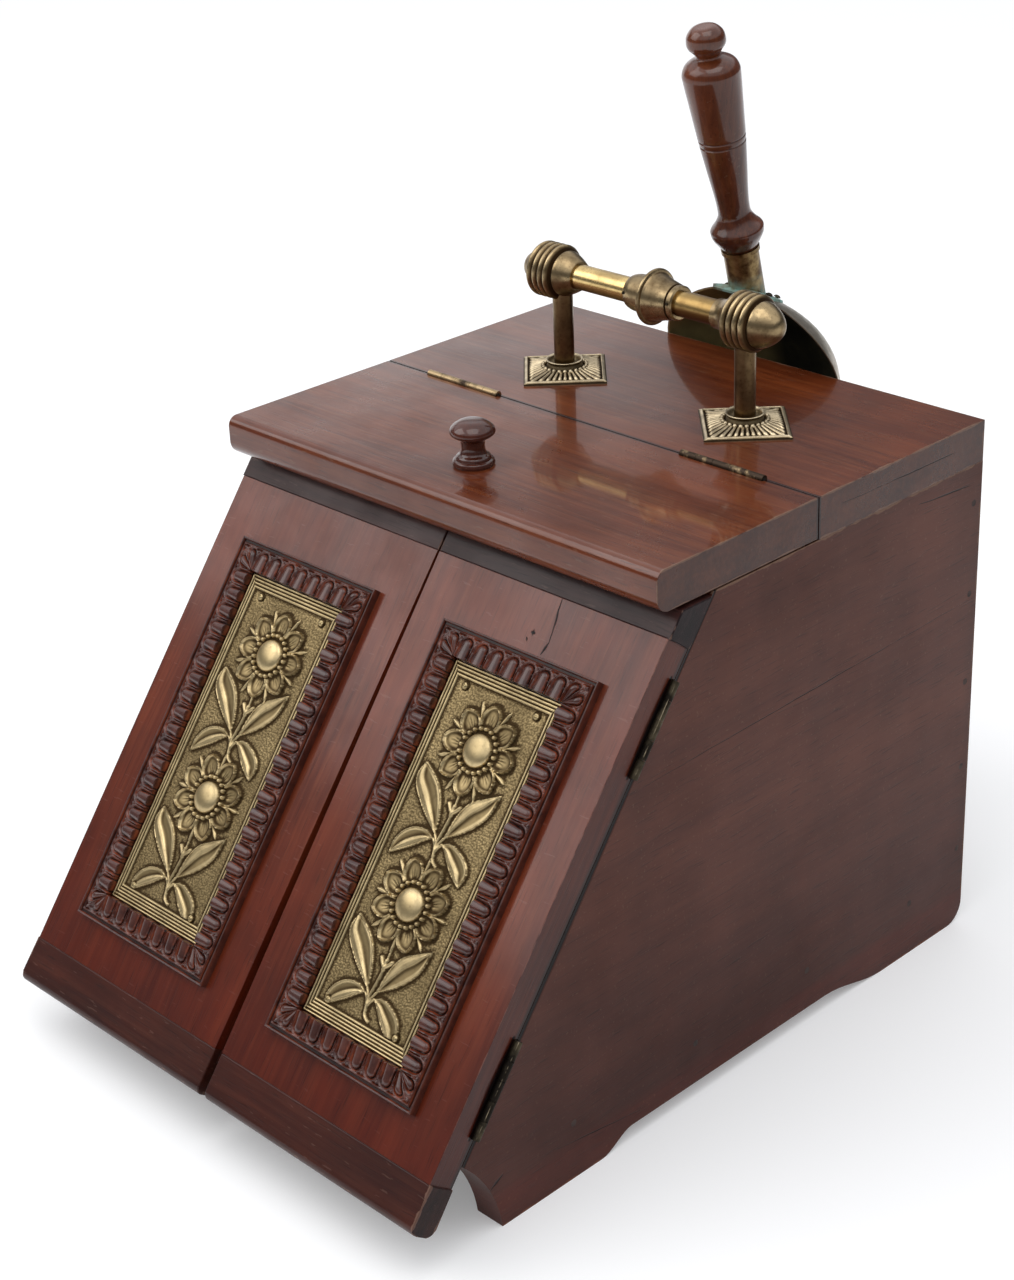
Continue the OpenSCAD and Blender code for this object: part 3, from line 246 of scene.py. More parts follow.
# A thin open crack or a joint between two boards, from one point to another of the board's face
shake, taken, given = tree_of("crack_line", [
    ("Vector", "Vector", None), ("From", "Vector", None), ("To", "Vector", None), ("Width", "Float", 0.0006),
    ("Waver", "Float", 0.002)], [("Line", "Float")])
wander = add(shake, "ShaderNodeTexNoise", {"Vector": taken.outputs["Vector"], "Scale": 55, "Detail": 4})
off = vectors(shake, "SUBTRACT", wander.outputs["Color"], (0.5, 0.5, 0.5))
off = vectors(shake, "SCALE", off, scale=taken.outputs["Waver"])
spot = vectors(shake, "ADD", taken.outputs["Vector"], off)
run = vectors(shake, "SUBTRACT", taken.outputs["To"], taken.outputs["From"])
rel = vectors(shake, "SUBTRACT", spot, taken.outputs["From"])
share = maths(shake, "DIVIDE", vectors(shake, "DOT_PRODUCT", rel, run),
              vectors(shake, "DOT_PRODUCT", run, run), clamp=True)
miss = vectors(shake, "DISTANCE", rel, vectors(shake, "SCALE", run, scale=share))
taper = maths(shake, "MULTIPLY", taken.outputs["Width"], maths(
    shake, "MULTIPLY_ADD", maths(shake, "ABSOLUTE", maths(shake, "SUBTRACT", share, 0.5)), -1.3, 1.0))
shake.links.new(maths(shake, "SUBTRACT", 1.4, maths(
    shake, "DIVIDE", miss, taper), clamp=True), given.inputs["Line"])


def placed(tree, group, inputs):
    """One of the shader groups in a material, with its inputs."""
    return add(tree, "ShaderNodeGroup", inputs, node_tree=bpy.data.node_groups[group])


def new_material(name):
    """An empty material, its tree and the object's own coordinates in it."""
    made = bpy.data.materials.new(name)
    made.use_nodes = True
    made.node_tree.nodes.clear()
    return made, made.node_tree, add(made.node_tree, "ShaderNodeTexCoord").outputs["Object"]


def skin_of(tree, inputs, height, strength, distance):
    """The skin of a material, with a bump from height over that distance."""
    bump = add(tree, "ShaderNodeBump", {"Height": height, "Strength": strength, "Distance": distance})
    skin = add(tree, "ShaderNodeBsdfPrincipled", {**inputs, "Normal": bump.outputs[0]})
    add(tree, "ShaderNodeOutputMaterial", {"Surface": skin.outputs[0]})


DOOR_SLOPE = math.radians(52.6)
FOOT_Y, FOOT_Z = -467 + SHIFT_Y, 34  # where the slope of the doors begins
DOOR_FOOT = (0, FOOT_Y * MM, FOOT_Z * MM)


def in_doors_plane(tree, place):
    """Coordinates across a door, up its slope and off its face."""
    made = add(tree, "ShaderNodeMapping", {
        "Vector": place, "Location": DOOR_FOOT, "Rotation": (DOOR_SLOPE, 0, 0)}, vector_type="TEXTURE")
    return made.outputs[0]


def timber(name, colours, low, high, along="x", polish=0.6, rough=0.36, streaks=0.45, pores=0.5, figure=0.3,
           edge=0.0012, edge_colour=(0.20, 0.115, 0.075, 1), grime=0.35, sloped=False, cracks=(),
           coat_rough=0.16, shift=0.0, ends=None,
           end_shades=((0.17, 0.19, 0.25), (0.55, 0.60, 0.75)), darkened=()):
    """Polished wood of one board. low and high are the board's corners in its own coordinates, along is
    the run of the grain, and sloped boards lie in the doors' plane. A crack is (from, to, width, waver), and
    each darkened entry is the axis along which a board darkens, where that starts and ends, and the share of
    each colour left; on the sides this darkening is painted shade."""
    made, tree, place = new_material(name)
    if sloped:
        place = in_doors_plane(tree, place)
    turned = {"x": (0, 0, 0), "y": (0, 0, math.pi / 2), "z": (0, math.pi / 2, 0)}[along]
    run = add(tree, "ShaderNodeMapping", {
        "Vector": place, "Location": (shift, shift * 0.7, shift * 0.4), "Rotation": turned})
    dark, middle, pale = ((*colour, 1) for colour in colours)
    wood = placed(tree, "board_grain", {
        "Vector": run.outputs[0], "Dark": dark, "Middle": middle, "Pale": pale, "Streaks": streaks,
        "Pores": pores, "Figure": figure})
    rub = placed(tree, "arris_wear", {"Vector": place, "Low": low, "High": high, "Width": edge})
    smoke = spread(tree, noise(tree, place, 9 + 4 * shift, 5, 0.6), 0.38, 0.68)
    soiled = maths(tree, "MULTIPLY", maths(tree, "MAXIMUM", smoke, maths(
        tree, "MULTIPLY", rub.outputs["Near"], 0.8)), grime)
    colour = between(tree, soiled, wood.outputs["Color"], between(
        tree, 1.0, wood.outputs["Color"], (0.42, 0.38, 0.40, 1), "MULTIPLY"))
    colour = between(tree, maths(tree, "MULTIPLY", rub.outputs["Edge"], 0.75), colour, edge_colour)
    scratch = spread(tree, noise(tree, stretched(tree, place, (9, 60, 60)), 9, 2, 0.5), 0.665, 0.70)
    colour = between(tree, maths(tree, "MULTIPLY", scratch, 0.22), colour, edge_colour)
    depth = wood.outputs["Height"]
    opened, cut_end = 0.0, 0.0
    for start, end, width, waver in cracks:
        line = placed(tree, "crack_line", {
            "Vector": place, "From": start, "To": end, "Width": width, "Waver": waver})
        colour = between(tree, line.outputs[0], colour, (0.006, 0.004, 0.004, 1))
        depth = maths(tree, "MULTIPLY_ADD", line.outputs[0], -6.0, depth)
        opened = maths(tree, "MAXIMUM", opened, line.outputs[0])
    if ends is not None:
        # Dirty end grain, past this distance from the middle
        across = add(tree, "ShaderNodeSeparateXYZ", {0: place}).outputs["X"]
        cut_end = spread(tree, maths(tree, "ABSOLUTE", across), ends - 0.0004, ends + 0.0002)
        dirt = spread(tree, noise(tree, stretched(tree, place, (1, 0.2, 1)), 160, 4, 0.6), 0.35, 0.65)
        sooty = between(tree, dirt, *[(*shade, 1) for shade in end_shades])
        colour = between(tree, maths(tree, "MULTIPLY", cut_end, maths(
            tree, "MULTIPLY_ADD", rub.outputs["Edge"], -0.7, 1.0)), colour,
            between(tree, 1.0, colour, sooty, "MULTIPLY"))
    # Darkening along one axis: on the sides it is painted shade towards the floor
    for axis, clear, black, left in darkened:
        place_on = add(tree, "ShaderNodeSeparateXYZ", {0: place}).outputs[axis]
        colour = between(tree, spread(tree, place_on, clear, black), colour,
                         between(tree, 1.0, colour, (*left, 1), "MULTIPLY"))
    roughness = maths(tree, "ADD", spread(tree, smoke, 0, 1, rough - 0.04, rough + 0.10), maths(
        tree, "MULTIPLY", rub.outputs["Edge"], 0.15), clamp=True)
    film = maths(tree, "MULTIPLY", polish, maths(tree, "MULTIPLY_ADD", rub.outputs["Edge"], -0.25, spread(
        tree, smoke, 0, 1, 1.0, 0.7)), clamp=True)
    film = maths(tree, "MULTIPLY", film, maths(tree, "MULTIPLY", maths(tree, "SUBTRACT", 1.0, opened), maths(
        tree, "MULTIPLY_ADD", cut_end, -0.8, 1.0)))
    skin_of(tree, {
        "Base Color": colour, "Roughness": roughness, "Coat Weight": film, "Coat Roughness": coat_rough,
        "Coat IOR": 1.5, "Specular IOR Level": 0.15}, depth, 0.25, 0.00025)
    return made


def put_in_scene(name, mesh, material=None, sharp=None, smooth=True):
    """A piece of that mesh, shaded smooth up to the sharp angle."""
    mesh.polygons.foreach_set("use_smooth", [smooth] * len(mesh.polygons))
    if sharp is not None:
        mesh.set_sharp_from_angle(angle=math.radians(sharp))
    if material is not None:
        mesh.materials.append(material)
    made = bpy.data.objects.new(name, mesh)
    bpy.context.scene.collection.objects.link(made)
    return made


def turn_outwards(mesh, weld=None):
    """Turns a mesh's faces outwards, once points closer than weld are one."""
    shaped = bmesh.new()
    shaped.from_mesh(mesh)
    if weld is not None:
        bmesh.ops.remove_doubles(shaped, verts=shaped.verts, dist=weld)
    bmesh.ops.recalc_face_normals(shaped, faces=shaped.faces)
    shaped.to_mesh(mesh)
    shaped.free()


def mark(mesh, values, label="hollow"):
    """Writes one value a point into a mesh, for its material to read."""
    mesh.attributes.new(label, "FLOAT", "POINT").data.foreach_set("value", np.asarray(values, np.float32))


def board(name, node, body, wood, ease=0.5):
    """A board as the solid has it, with its arrises eased by that many millimetres."""
    copied = bmesh.new()
    copied.from_mesh(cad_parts[node].data)
    bmesh.ops.remove_doubles(copied, verts=copied.verts, dist=1e-6)
    bmesh.ops.dissolve_limit(copied, angle_limit=math.radians(0.4), verts=copied.verts, edges=copied.edges)
    made = bpy.data.objects.new(name, bpy.data.meshes.new(name))
    copied.to_mesh(made.data)
    copied.free()
    bpy.context.scene.collection.objects.link(made)
    made.data.polygons.foreach_set("use_smooth", [True] * len(made.data.polygons))
    eased = made.modifiers.new("eased arrises", "BEVEL")
    eased.width = ease * MM
    eased.segments = 3
    eased.limit_method = "ANGLE"
    eased.angle_limit = math.radians(35)
    flat = made.modifiers.new("flat faces", "WEIGHTED_NORMAL")
    flat.keep_sharp = True
    made.data.materials.append(wood)
    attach(made, body)
    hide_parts(node)


def corners(node):
    low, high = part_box(node)
    return tuple(low), tuple(high)


# Browned, dull outer sides; the right one has a glued joint, a short crack at the front foot and
# another under the top
SIDE = ((0.084, 0.0205, 0.0105), (0.110, 0.0290, 0.0145), (0.140, 0.043, 0.023))
# Painted shade: the sides are painted darker towards the floor, and redder again along the very edge
SIDE_PAINTED_SHADE = (("Z", 0.16, 0.05, (0.70, 0.56, 0.50)), ("Z", 0.026, 0.020, (1.30, 0.98, 0.85)))
# The dark line up the slope where the doors shut against the sides
DOOR_JOINT = [(0.170, DOOR_FOOT[1] + (s * math.cos(DOOR_SLOPE) + 19.8 * math.sin(DOOR_SLOPE)) * MM,
               DOOR_FOOT[2] + (s * math.sin(DOOR_SLOPE) - 19.8 * math.cos(DOOR_SLOPE)) * MM)
              for s in (-60, 400)]
SIDE_CRACKS = (
    ((0.170, -0.110, 0.216), (0.170, 0.188, 0.223), 0.00035, 0.0012),
    ((0.170, -0.174, 0.0267), (0.170, -0.1055, 0.0159), 0.0004, 0.002),
    ((0.170, -0.2196, 0.0281), (0.170, -0.2102, 0.0330), 0.0009, 0.001),
    ((0.170, 0.130, 0.300), (0.170, 0.186, 0.296), 0.0005, 0.002),
    (DOOR_JOINT[0], DOOR_JOINT[1], 0.0020, 0.0003))
for side, marks, shift in (("right", SIDE_CRACKS, 0.0), ("left", (), 1.3)):
    low, high = corners(f"{side}_side")
    side_wood = timber(f"{side}_side_wood", SIDE, low, high, along="y", polish=0.12, rough=0.42, streaks=0.25,
                       figure=0.25, grime=0.5, shift=shift, darkened=SIDE_PAINTED_SHADE, cracks=marks)
    board(f"side_board_{side}", f"{side}_side", "box", side_wood, 0.7)

DEAL = ((0.10, 0.052, 0.024), (0.18, 0.105, 0.055), (0.26, 0.17, 0.095))
for name, node, along, shift in (("back_boards", "back_panel", "z", 0.2),
                                 ("floor_boards", "floor_board", "x", 0.5),
                                 ("kerb_board", "kerb_rail", "x", 0.9)):
    low, high = corners(node)
    wood = timber(node + "_wood", DEAL, low, high, along=along, polish=0.0, rough=0.62, pores=0.3,
                  grime=0.75, shift=shift)
    board(name, node, "box", wood)

# The bright top: red-brown with a deep gloss, dark where the lid meets it and at its sooty ends
SOOTY_ENDS = ((0.11, 0.13, 0.18), (0.34, 0.39, 0.50))
SEAM = SHIFT_Y - 148.9  # where the lid meets the fixed top
SEAM_Y = SEAM * MM
TOP = ((0.088, 0.0165, 0.0050), (0.165, 0.036, 0.0100), (0.250, 0.070, 0.021))
low, high = corners("rear_top")
low = low[0], low[1] - 0.01, low[2]
top_wood = timber("rear_top_wood", TOP, low, high, along="x", ends=0.1700, end_shades=SOOTY_ENDS, polish=0.85,
                  rough=0.30, coat_rough=0.06, grime=0.30,
                  darkened=(("Y", SEAM_Y + 0.0022, SEAM_Y + 0.0012, (0.20, 0.16, 0.22)),),
                  cracks=(((0.1701, 0.060, 0.323), (0.1701, 0.190, 0.321), 0.0004, 0.002),
                          ((-0.02, 0.158, 0.333), (0.168, 0.163, 0.333), 0.00022, 0.001)))
board("rear_top_board", "rear_top", "box", top_wood, 0.6)


# ---- The sheet-iron lining, the nails and the handle's studs and nuts ----
# Thin black sheet folded into a tray that holds the coal, wire nails with small heads, and iron
# studs that run down inside the handle's posts to washers and nuts under the board.
def plain_metal(name, colour, dark, rough, metallic=1.0, scale=120.0, share=(0.35, 0.65)):
    """Metal with a mottled skin: the paler colour shows where it is rubbed."""
    made, tree, place = new_material(name)
    mottle = spread(tree, noise(tree, place, scale, 5, 0.62), *share)
    skin_of(tree, {
        "Base Color": between(tree, mottle, (*dark, 1), (*colour, 1)), "Metallic": metallic,
        "Roughness": spread(tree, mottle, 0, 1, min(rough + 0.16, 0.9), rough)},
            noise(tree, place, scale * 9, 2, 0.5), 0.15, 0.0002)
    return made


def clothe(material, slot, *nodes):
    """The solids themselves, with this material."""
    for node in nodes:
        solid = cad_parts[node]
        solid.data.materials.clear()
        solid.data.materials.append(material)


iron = plain_metal("black_iron", (0.10, 0.085, 0.075), (0.030, 0.026, 0.024), 0.55, metallic=0.8, scale=60)
clothe(iron, "black_iron", "coal_lining", "handle_studs", "stud_nuts", "lid_hinge_pins", "door_hinge_pins")
# The nails have rusted brown and are stained over
clothe(plain_metal("stained_nails", (0.055, 0.026, 0.018), (0.020, 0.010, 0.008), 0.65, metallic=0.0),
       "black_iron", "carcase_nails")


# ---- The pocket for the scoop ----
# Four deal boards nailed to the back panel: two cheeks with sloping tops, a back and a shelf.
for node, along, shift in (("pocket_left_cheek", "y", 0.3), ("pocket_right_cheek", "y", 0.6),
                           ("pocket_back_board", "x", 1.1), ("pocket_shelf", "x", 1.7)):
    low, high = corners(node)
    wood = timber(node + "_wood", ((0.050, 0.020, 0.010), (0.085, 0.034, 0.017), (0.13, 0.060, 0.030)),
                  low, high, along=along, polish=0.05, rough=0.5, pores=0.3, grime=0.6, shift=shift)
    board(node.replace("pocket_", "pocket_board_"), node, "box", wood, 0.8)


# ---- The lid flap and its knob ----
# One board with a rounded nose and the bright polish of the top. The knob is turned from darker
# wood and glued in by its spigot.
low, high = corners("lid_board")
high = high[0], high[1] + 0.01, high[2]
lid_wood = timber("lid_wood", TOP, low, high, along="x", ends=0.1700, end_shades=SOOTY_ENDS, polish=0.85,
                  rough=0.30, coat_rough=0.06, grime=0.30, shift=2.4,
                  edge=0.0009, darkened=(("Y", SEAM_Y - 0.0022, SEAM_Y - 0.0012, (0.20, 0.16, 0.22)),))
board("lid_flap", "lid_board", "lid", lid_wood, 0.6)


def smooth_run(points, steps):
    """Points on a smooth curve through the given ones."""
    points = [np.array(point, float) for point in points]
    found = []
    for i in range(len(points) - 1):
        a, b, c, d = points[max(i - 1, 0)], points[i], points[i + 1], points[min(i + 2, len(points) - 1)]
        for k in range(steps):
            t = k / steps
            bend = (2 * a - 5 * b + 4 * c - d) * t * t + (3 * b - 3 * c + d - a) * t ** 3
            found.append((2 * b + (c - a) * t + bend) / 2)
    return [tuple(point) for point in found] + [tuple(points[-1])]


def mesh_piece(name, points, faces, material=None, smooth=True, sharp=None):
    """A piece from points in metres and faces, with its outside out."""
    mesh = bpy.data.meshes.new(name)
    mesh.from_pydata([tuple(point) for point in points], [], faces)
    turn_outwards(mesh, 1e-6)
    return put_in_scene(name, mesh, material, sharp, smooth)


def lathe(outline, around=72):
    """Points and faces of a turned form: outline is (radius, height) from foot to tip, closed on the axis."""
    points, faces, rings = [], [], []
    for radius, up in outline:
        if radius < 1e-4:
            rings.append([len(points)])
            points.append((0, 0, up))
        else:
            rings.append(list(range(len(points), len(points) + around)))
            points += [(radius * math.cos(2 * math.pi * k / around),
                        radius * math.sin(2 * math.pi * k / around), up)
                       for k in range(around)]
    for below, above in zip(rings, rings[1:]):
        for k in range(max(len(below), len(above))):
            n = (k + 1) % around
            if len(below) == 1 and len(above) == 1:
                continue
            if len(below) == 1:
                faces.append((below[0], above[n], above[k]))
            elif len(above) == 1:
                faces.append((below[k], below[n], above[0]))
            else:
                faces.append((below[k], below[n], above[n], above[k]))
    for ring in (rings[0], rings[-1]):
        if len(ring) > 1:
            faces.append(tuple(ring))
    return points, faces


def turned_piece(name, outline, place, material, around=72, sharp=38):
    points, faces = lathe(outline, around)
    return mesh_piece(name, [place @ Vector(point) * MM for point in points], faces, material, sharp=sharp)


KNOB_PLACE = Matrix.Translation((-5.5, SEAM - 85, TOP_Z))
knob_outline = [(0, 0.02), (11.7, 0.02)] + smooth_run([(12.1, 1.3), (11.5, 2.9), (10.1, 3.5)], 6)
knob_outline += smooth_run([
    (10.1, 4.2), (9.5, 5.4), (7.5, 7), (6.7, 9.5), (6.7, 12), (7.3, 14.4), (9.3, 16), (11.5, 17.3)], 6)
knob_outline += smooth_run([(12.6, 18.4), (12.9, 19.6), (12.1, 21.8), (9.6, 24), (5.9, 25.7), (0, 26.2)], 7)
knob_wood = timber("knob_wood", ((0.040, 0.008, 0.004), (0.085, 0.018, 0.008), (0.12, 0.030, 0.012)),
                   (-0.1, -0.2, 0.2), (0.1, 0.1, 0.5), along="z", polish=1.0, rough=0.25, coat_rough=0.05,
                   grime=0.15, edge=0.0001)
knob = turned_piece("turned_knob", knob_outline, KNOB_PLACE, knob_wood)
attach(knob, "lid")
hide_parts("lid_knob")


# ---- The lid's hinges ----
# Two brass butt hinges let into the edges of the boards, with dark steel pins. The left barrel is
# rubbed to the bare brass, and the right one is stained nearly all over.
for side, share in (("left", (0.36, 0.52)), ("right", (0.50, 0.60))):
    hinge_brass = plain_metal(f"{side}_hinge_brass", (0.45, 0.325, 0.18), (0.065, 0.045, 0.032), 0.40,
                              scale=75, share=share)
    clothe(hinge_brass, "dark_brass", *[f"{side}_lid_hinge_{leaf}_leaf" for leaf in ("rear", "front")])


# ---- The doors ----
# Each is a board of straight-grained mahogany, redder than the sides, with a clamp tongued across
# its top and its foot to keep it flat. The foot clamps are scuffed and their corners rubbed round.


def mirrored(low, high):
    return (-high[0], low[1], low[2]), (-low[0], high[1], high[2])


def rounded_corner(s, o, start, radius=4.94, steps=6):
    """A quarter circle about s and o, from the start angle on."""
    turns = [math.radians(start + 90 * i / steps) for i in range(steps + 1)]
    return [(s + radius * math.cos(turn), o + radius * math.sin(turn)) for turn in turns]


# The clamps' own sections, 0.06 mm inside them
FOOT_END = [(26.94, -18.34), (26.94, -0.06)] + rounded_corner(5, -5, 90) + rounded_corner(5, -13.4, 180)
HEAD_END = [(326.86, -18.34), (356.70, -18.34), (342.70, -0.06), (326.86, -0.06)]


def closed_end(name, body, section, sign, wood):
    """The outer end of a clamp, which closes the end of its groove."""
    end = bmesh.new()
    inner, outer = ([end.verts.new(on_door(x, s, o, sign)) for s, o in section] for x in (169.2, 171.32))
    for i in range(len(section)):
        k = (i + 1) % len(section)
        end.faces.new((inner[i], inner[k], outer[k], outer[i]))
    end.faces.new(inner)
    rim = end.faces.new(outer)
    bmesh.ops.bevel(end, geom=list(rim.edges), offset=0.5 * MM, segments=3, affect="EDGES")
    bmesh.ops.recalc_face_normals(end, faces=end.faces)
    mesh = bpy.data.meshes.new(name)
    end.to_mesh(mesh)
    end.free()
    made = put_in_scene(name, mesh, wood, sharp=40)
    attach(made, body)


def on_door(x, s, o, side=1):
    """A point of a door in metres, from its place across and up the face and its height off it."""
    y = FOOT_Y + s * math.cos(DOOR_SLOPE) - o * math.sin(DOOR_SLOPE)
    z = FOOT_Z + s * math.sin(DOOR_SLOPE) + o * math.cos(DOOR_SLOPE)
    if isinstance(y, np.ndarray):
        return np.stack([side * x, y, z], -1) * MM
    return side * x * MM, y * MM, z * MM


PANEL = ((0.104, 0.0155, 0.0050), (0.182, 0.0320, 0.0105), (0.240, 0.060, 0.022))
# A pin knot over the right-hand frame, and a shake that runs from the frame up to the clamp
KNOT = (((0.0853, 0.3043, 0), (0.0873, 0.3043, 0), 0.0019, 0.001),
        ((0.0966, 0.2950, 0), (0.0990, 0.3029, 0), 0.0008, 0.002),
        ((0.0990, 0.3029, 0), (0.0951, 0.3265, 0), 0.0007, 0.003),
        ((0.0845, 0.2990, 0), (0.0833, 0.3010, 0), 0.0006, 0.001))
FOOT_CLAMP = ((0.034, 0.0060, 0.0032), (0.064, 0.0120, 0.0055), (0.100, 0.027, 0.014))
HEAD_CLAMP = ((0.035, 0.0130, 0.0115), (0.060, 0.0220, 0.0190), (0.095, 0.040, 0.032))
for side, shift in (("right", 0.0), ("left", 3.1)):
    marks = KNOT if side == "right" else ()
    out = 0.1702 if side == "right" else -0.1702
    # Painted shade: a dark band is painted on each door's edge beside the hinge barrels, where the barrels
    # shade it
    marks += tuple(((out, s - 0.028, -0.0150), (out, s + 0.028, -0.0150), 0.0030, 0.001)
                   for s in (0.082, 0.28197))
    # The boxes run on past the joints, so that only open arrises are rubbed
    low, high = (0.0007, 0.007, -0.0184), (0.1702, 0.3468, 0.0)
    ends = [(0.0007, 0.3068, -0.0184), (0.1712, 0.3728, 0.0)], [(0.0007, 0.0, -0.0184), (0.1712, 0.047, 0.0)]
    if side == "left":
        low, high = mirrored(low, high)
        ends = [mirrored(*end) for end in ends]
    wood = timber(f"{side}_door_wood", PANEL, low, high, along="y", polish=0.74, rough=0.34, coat_rough=0.12,
                  sloped=True, shift=shift, edge=0.0004, ends=0.1700,
                  end_shades=((0.30, 0.24, 0.25), (0.46, 0.38, 0.39)),
                  edge_colour=(0.24, 0.11, 0.085, 1), grime=0.35, cracks=marks,
                  darkened=(("Y", 0.19, 0.03, (0.62, 0.42, 0.36)), ("Z", -0.0152, -0.0176, (0.15, 0.15, 0.15))))
    board(f"{side}_door_board", f"{side}_door_panel", f"{side}_door", wood, 0.5)
    clamps = zip(ends, ("top", "bottom"), (HEAD_CLAMP, FOOT_CLAMP), (0.0008, 0.0014), (HEAD_END, FOOT_END))
    for (low, high), word, palette, rub, section in clamps:
        wood = timber(f"{side}_{word}_clamp_wood", palette, low, high, along="x", polish=0.32, rough=0.40,
                      coat_rough=0.2, sloped=True, shift=shift + 0.7, edge=rub,
                      edge_colour=(0.19, 0.105, 0.075, 1), grime=0.5, ends=0.1707)
        board(f"{side}_{word}_clamp_board", f"{side}_door_{word}_clamp", f"{side}_door", wood,
              0.8)
        closed_end(f"{side}_{word}_clamp_end", f"{side}_door", section, 1 if side == "right" else -1, wood)


# ---- The carved frames ----
# Egg-and-dart moulding, carved in four mitred lengths round each plate and glued to the door: a
# thin fillet, a hollow and a second ridge run outside the eggs, which are lobes in raised shells.
FRAME_W, FRAME_L, RAIL = 115.8, 240.4, 17.4
DOOR_MID = 170 / 2 + 6.5 / 8
FRAME_MID = 1.8 + 342.769 / 2
LOBE = 10.82
ACROSS, ALONG = 46, 26


def ridge(distance, width):
    return np.exp(-(distance / width) ** 2)


def carving(u, v, room=1.0):
    """Height and tone of the moulding at u in from the outer edge and v, in lobes, from an egg's middle.
    Tone is painted light and shade: 0 on rubbed brown crests, a half on the flanks, painted red for the
    light thrown back inside the hollows, and 1 in the channels, painted black for their shade."""
    x = np.abs(v) * LOBE
    outer = np.interp(u, [0, 0.25, 0.75, 1.15, 1.5, 2.7, 3.1, 3.45, 3.9, 4.3],
                      [4.5, 4.9, 4.9, 4.4, 3.3, 3.25, 4.6, 4.9, 4.5, 3.5])
    outer_tone = np.interp(u, [0, 0.2, 0.9, 1.5, 2.7, 3.2, 3.7, 4.3],
                           [0.3, 0.0, 0.1, 0.9, 0.9, 0.1, 0.1, 0.8])
    bed = 3.3 + (u - 4.2) / (RAIL - 4.2) * 1.2
    wide = 2.85 + 0.55 * np.clip((u - 9) / 8, 0, 1)
    # Distance outside the egg's rounded outline, and the egg itself
    away = np.hypot(x, np.minimum(u - 8.5, 0)) - wide
    share = np.clip(1 + away / wide, 0, 1)
    egg = 2.25 * np.sqrt(np.clip(1 - share ** 2.4, 0, 1)) * (away < 0)
    shell = np.interp(away, [0, 0.15, 0.45, 1.15, 1.6, 1.85, 2.2, 2.9],
                      [-0.2, -0.45, -0.1, 0.95, 1.5, 1.6, 1.15, 0.2])
    dart_x = np.abs(x - LOBE / 2)
    slit = 1.1 * ridge(dart_x, 0.30) * np.clip((u - 9.5) / 2, 0, 1)
    bead = np.sqrt(np.clip(1 - (np.hypot(dart_x, u - 5.35) / 1.15) ** 2, 0, 1)) * 1.7
    tail = 1.35 * ridge(dart_x, 0.34) * np.clip((10.5 - u) / 2, 0, 1) * np.clip((u - 5) / 0.8, 0, 1)
    relief = np.where(away < 0, egg, np.maximum(shell - slit, np.maximum(bead, tail) - 0.1))
    tone = np.where(away < 0, np.interp(share, [0, 0.7, 0.93, 1], [0.05, 0.12, 0.6, 1]),
                    np.interp(away, [0, 0.35, 0.6, 1.25, 1.55, 1.95, 2.5],
                              [1, 1, 0.62, 0.45, 0.05, 0.15, 0.6]))
    tone = np.where(away > 1.2, np.maximum(tone, slit * 0.8), tone)
    tone = np.where((bead > 0.5) | (tail > 0.9), 0.05, tone)
    carved = bed + room * relief
    fade = np.clip((u - 3.9) / 0.5, 0, 1)
    return outer * (1 - fade) + carved * fade, outer_tone * (1 - fade) + tone * fade


u_steps = np.concatenate([np.array([0, 0.25, 0.75, 1.15, 1.5, 2.1, 2.7, 3.1, 3.45, 3.9]),
                          np.linspace(4.3, RAIL, ACROSS - 10)])


def inner_end(v):
    """How far in the moulding reaches: each lobe ends in a small scallop."""
    return 0.5 * np.clip(np.abs(v) * 2, 0, 1) ** 2.2


def strip(xs, ys, heights, hollow):
    """A closed strip from rows of points across a moulding: the carved face, both edges and the back."""
    rows, columns = heights.shape
    wall_out = np.stack([xs[:, 0], ys[:, 0], np.zeros(rows)], -1)
    wall_in = np.stack([xs[:, -1], ys[:, -1], np.zeros(rows)], -1)
    top = np.stack([xs, ys, heights], -1)
    points = np.concatenate([wall_out[:, None], top, wall_in[:, None]], 1)
    count = columns + 2
    faces = []
    for r in range(rows - 1):
        for c in range(count):
            n = (c + 1) % count
            faces.append((r * count + c, r * count + n, (r + 1) * count + n, (r + 1) * count + c))
    shade = np.concatenate([hollow[:, :1] * 0, hollow, hollow[:, -1:] * 0 + 1], 1)
    return points.reshape(-1, 3), faces, shade.reshape(-1)


def lobe_unit():
    v = np.linspace(-0.5, 0.5, ALONG + 1)[:, None] * np.ones((1, len(u_steps)))
    u = u_steps[None, :] * np.ones_like(v)
    reach = RAIL - inner_end(v)
    drawn = np.where(u > 4.3, 4.3 + (u - 4.3) * (reach - 4.3) / (RAIL - 4.3), u)
    height, tone = carving(u, v)
    height[:, -1] -= 0.7
    return v * LOBE, drawn, height, tone


def corner_patch():
    """The fan in a corner: two lobes spread about the inner corner, which is the origin."""
    turn = np.linspace(0, math.pi / 2, 2 * ALONG + 1)[:, None] * np.ones((1, len(u_steps)))
    v = (turn / (math.pi / 4)) % 1.0 - 0.5
    v[-1] = 0.5
    u = u_steps[None, :] * np.ones_like(v)
    drawn = np.where(u > 4.3, 4.3 + (u - 4.3) * (RAIL - inner_end(0.5) - 4.3) / (RAIL - 4.3), u)
    out = (RAIL - drawn) / np.maximum(np.cos(turn), np.sin(turn))
    narrow = np.clip((RAIL - u) * (math.pi / 4) / 6.5, 0.12, 1)
    blend = np.clip(np.minimum(turn, math.pi / 2 - turn) / 0.25, 0, 1)
    height, tone = carving(u, v, narrow * blend + (1 - blend))
    height[:, -1] -= 0.7
    return out * np.cos(turn), out * np.sin(turn), height, tone


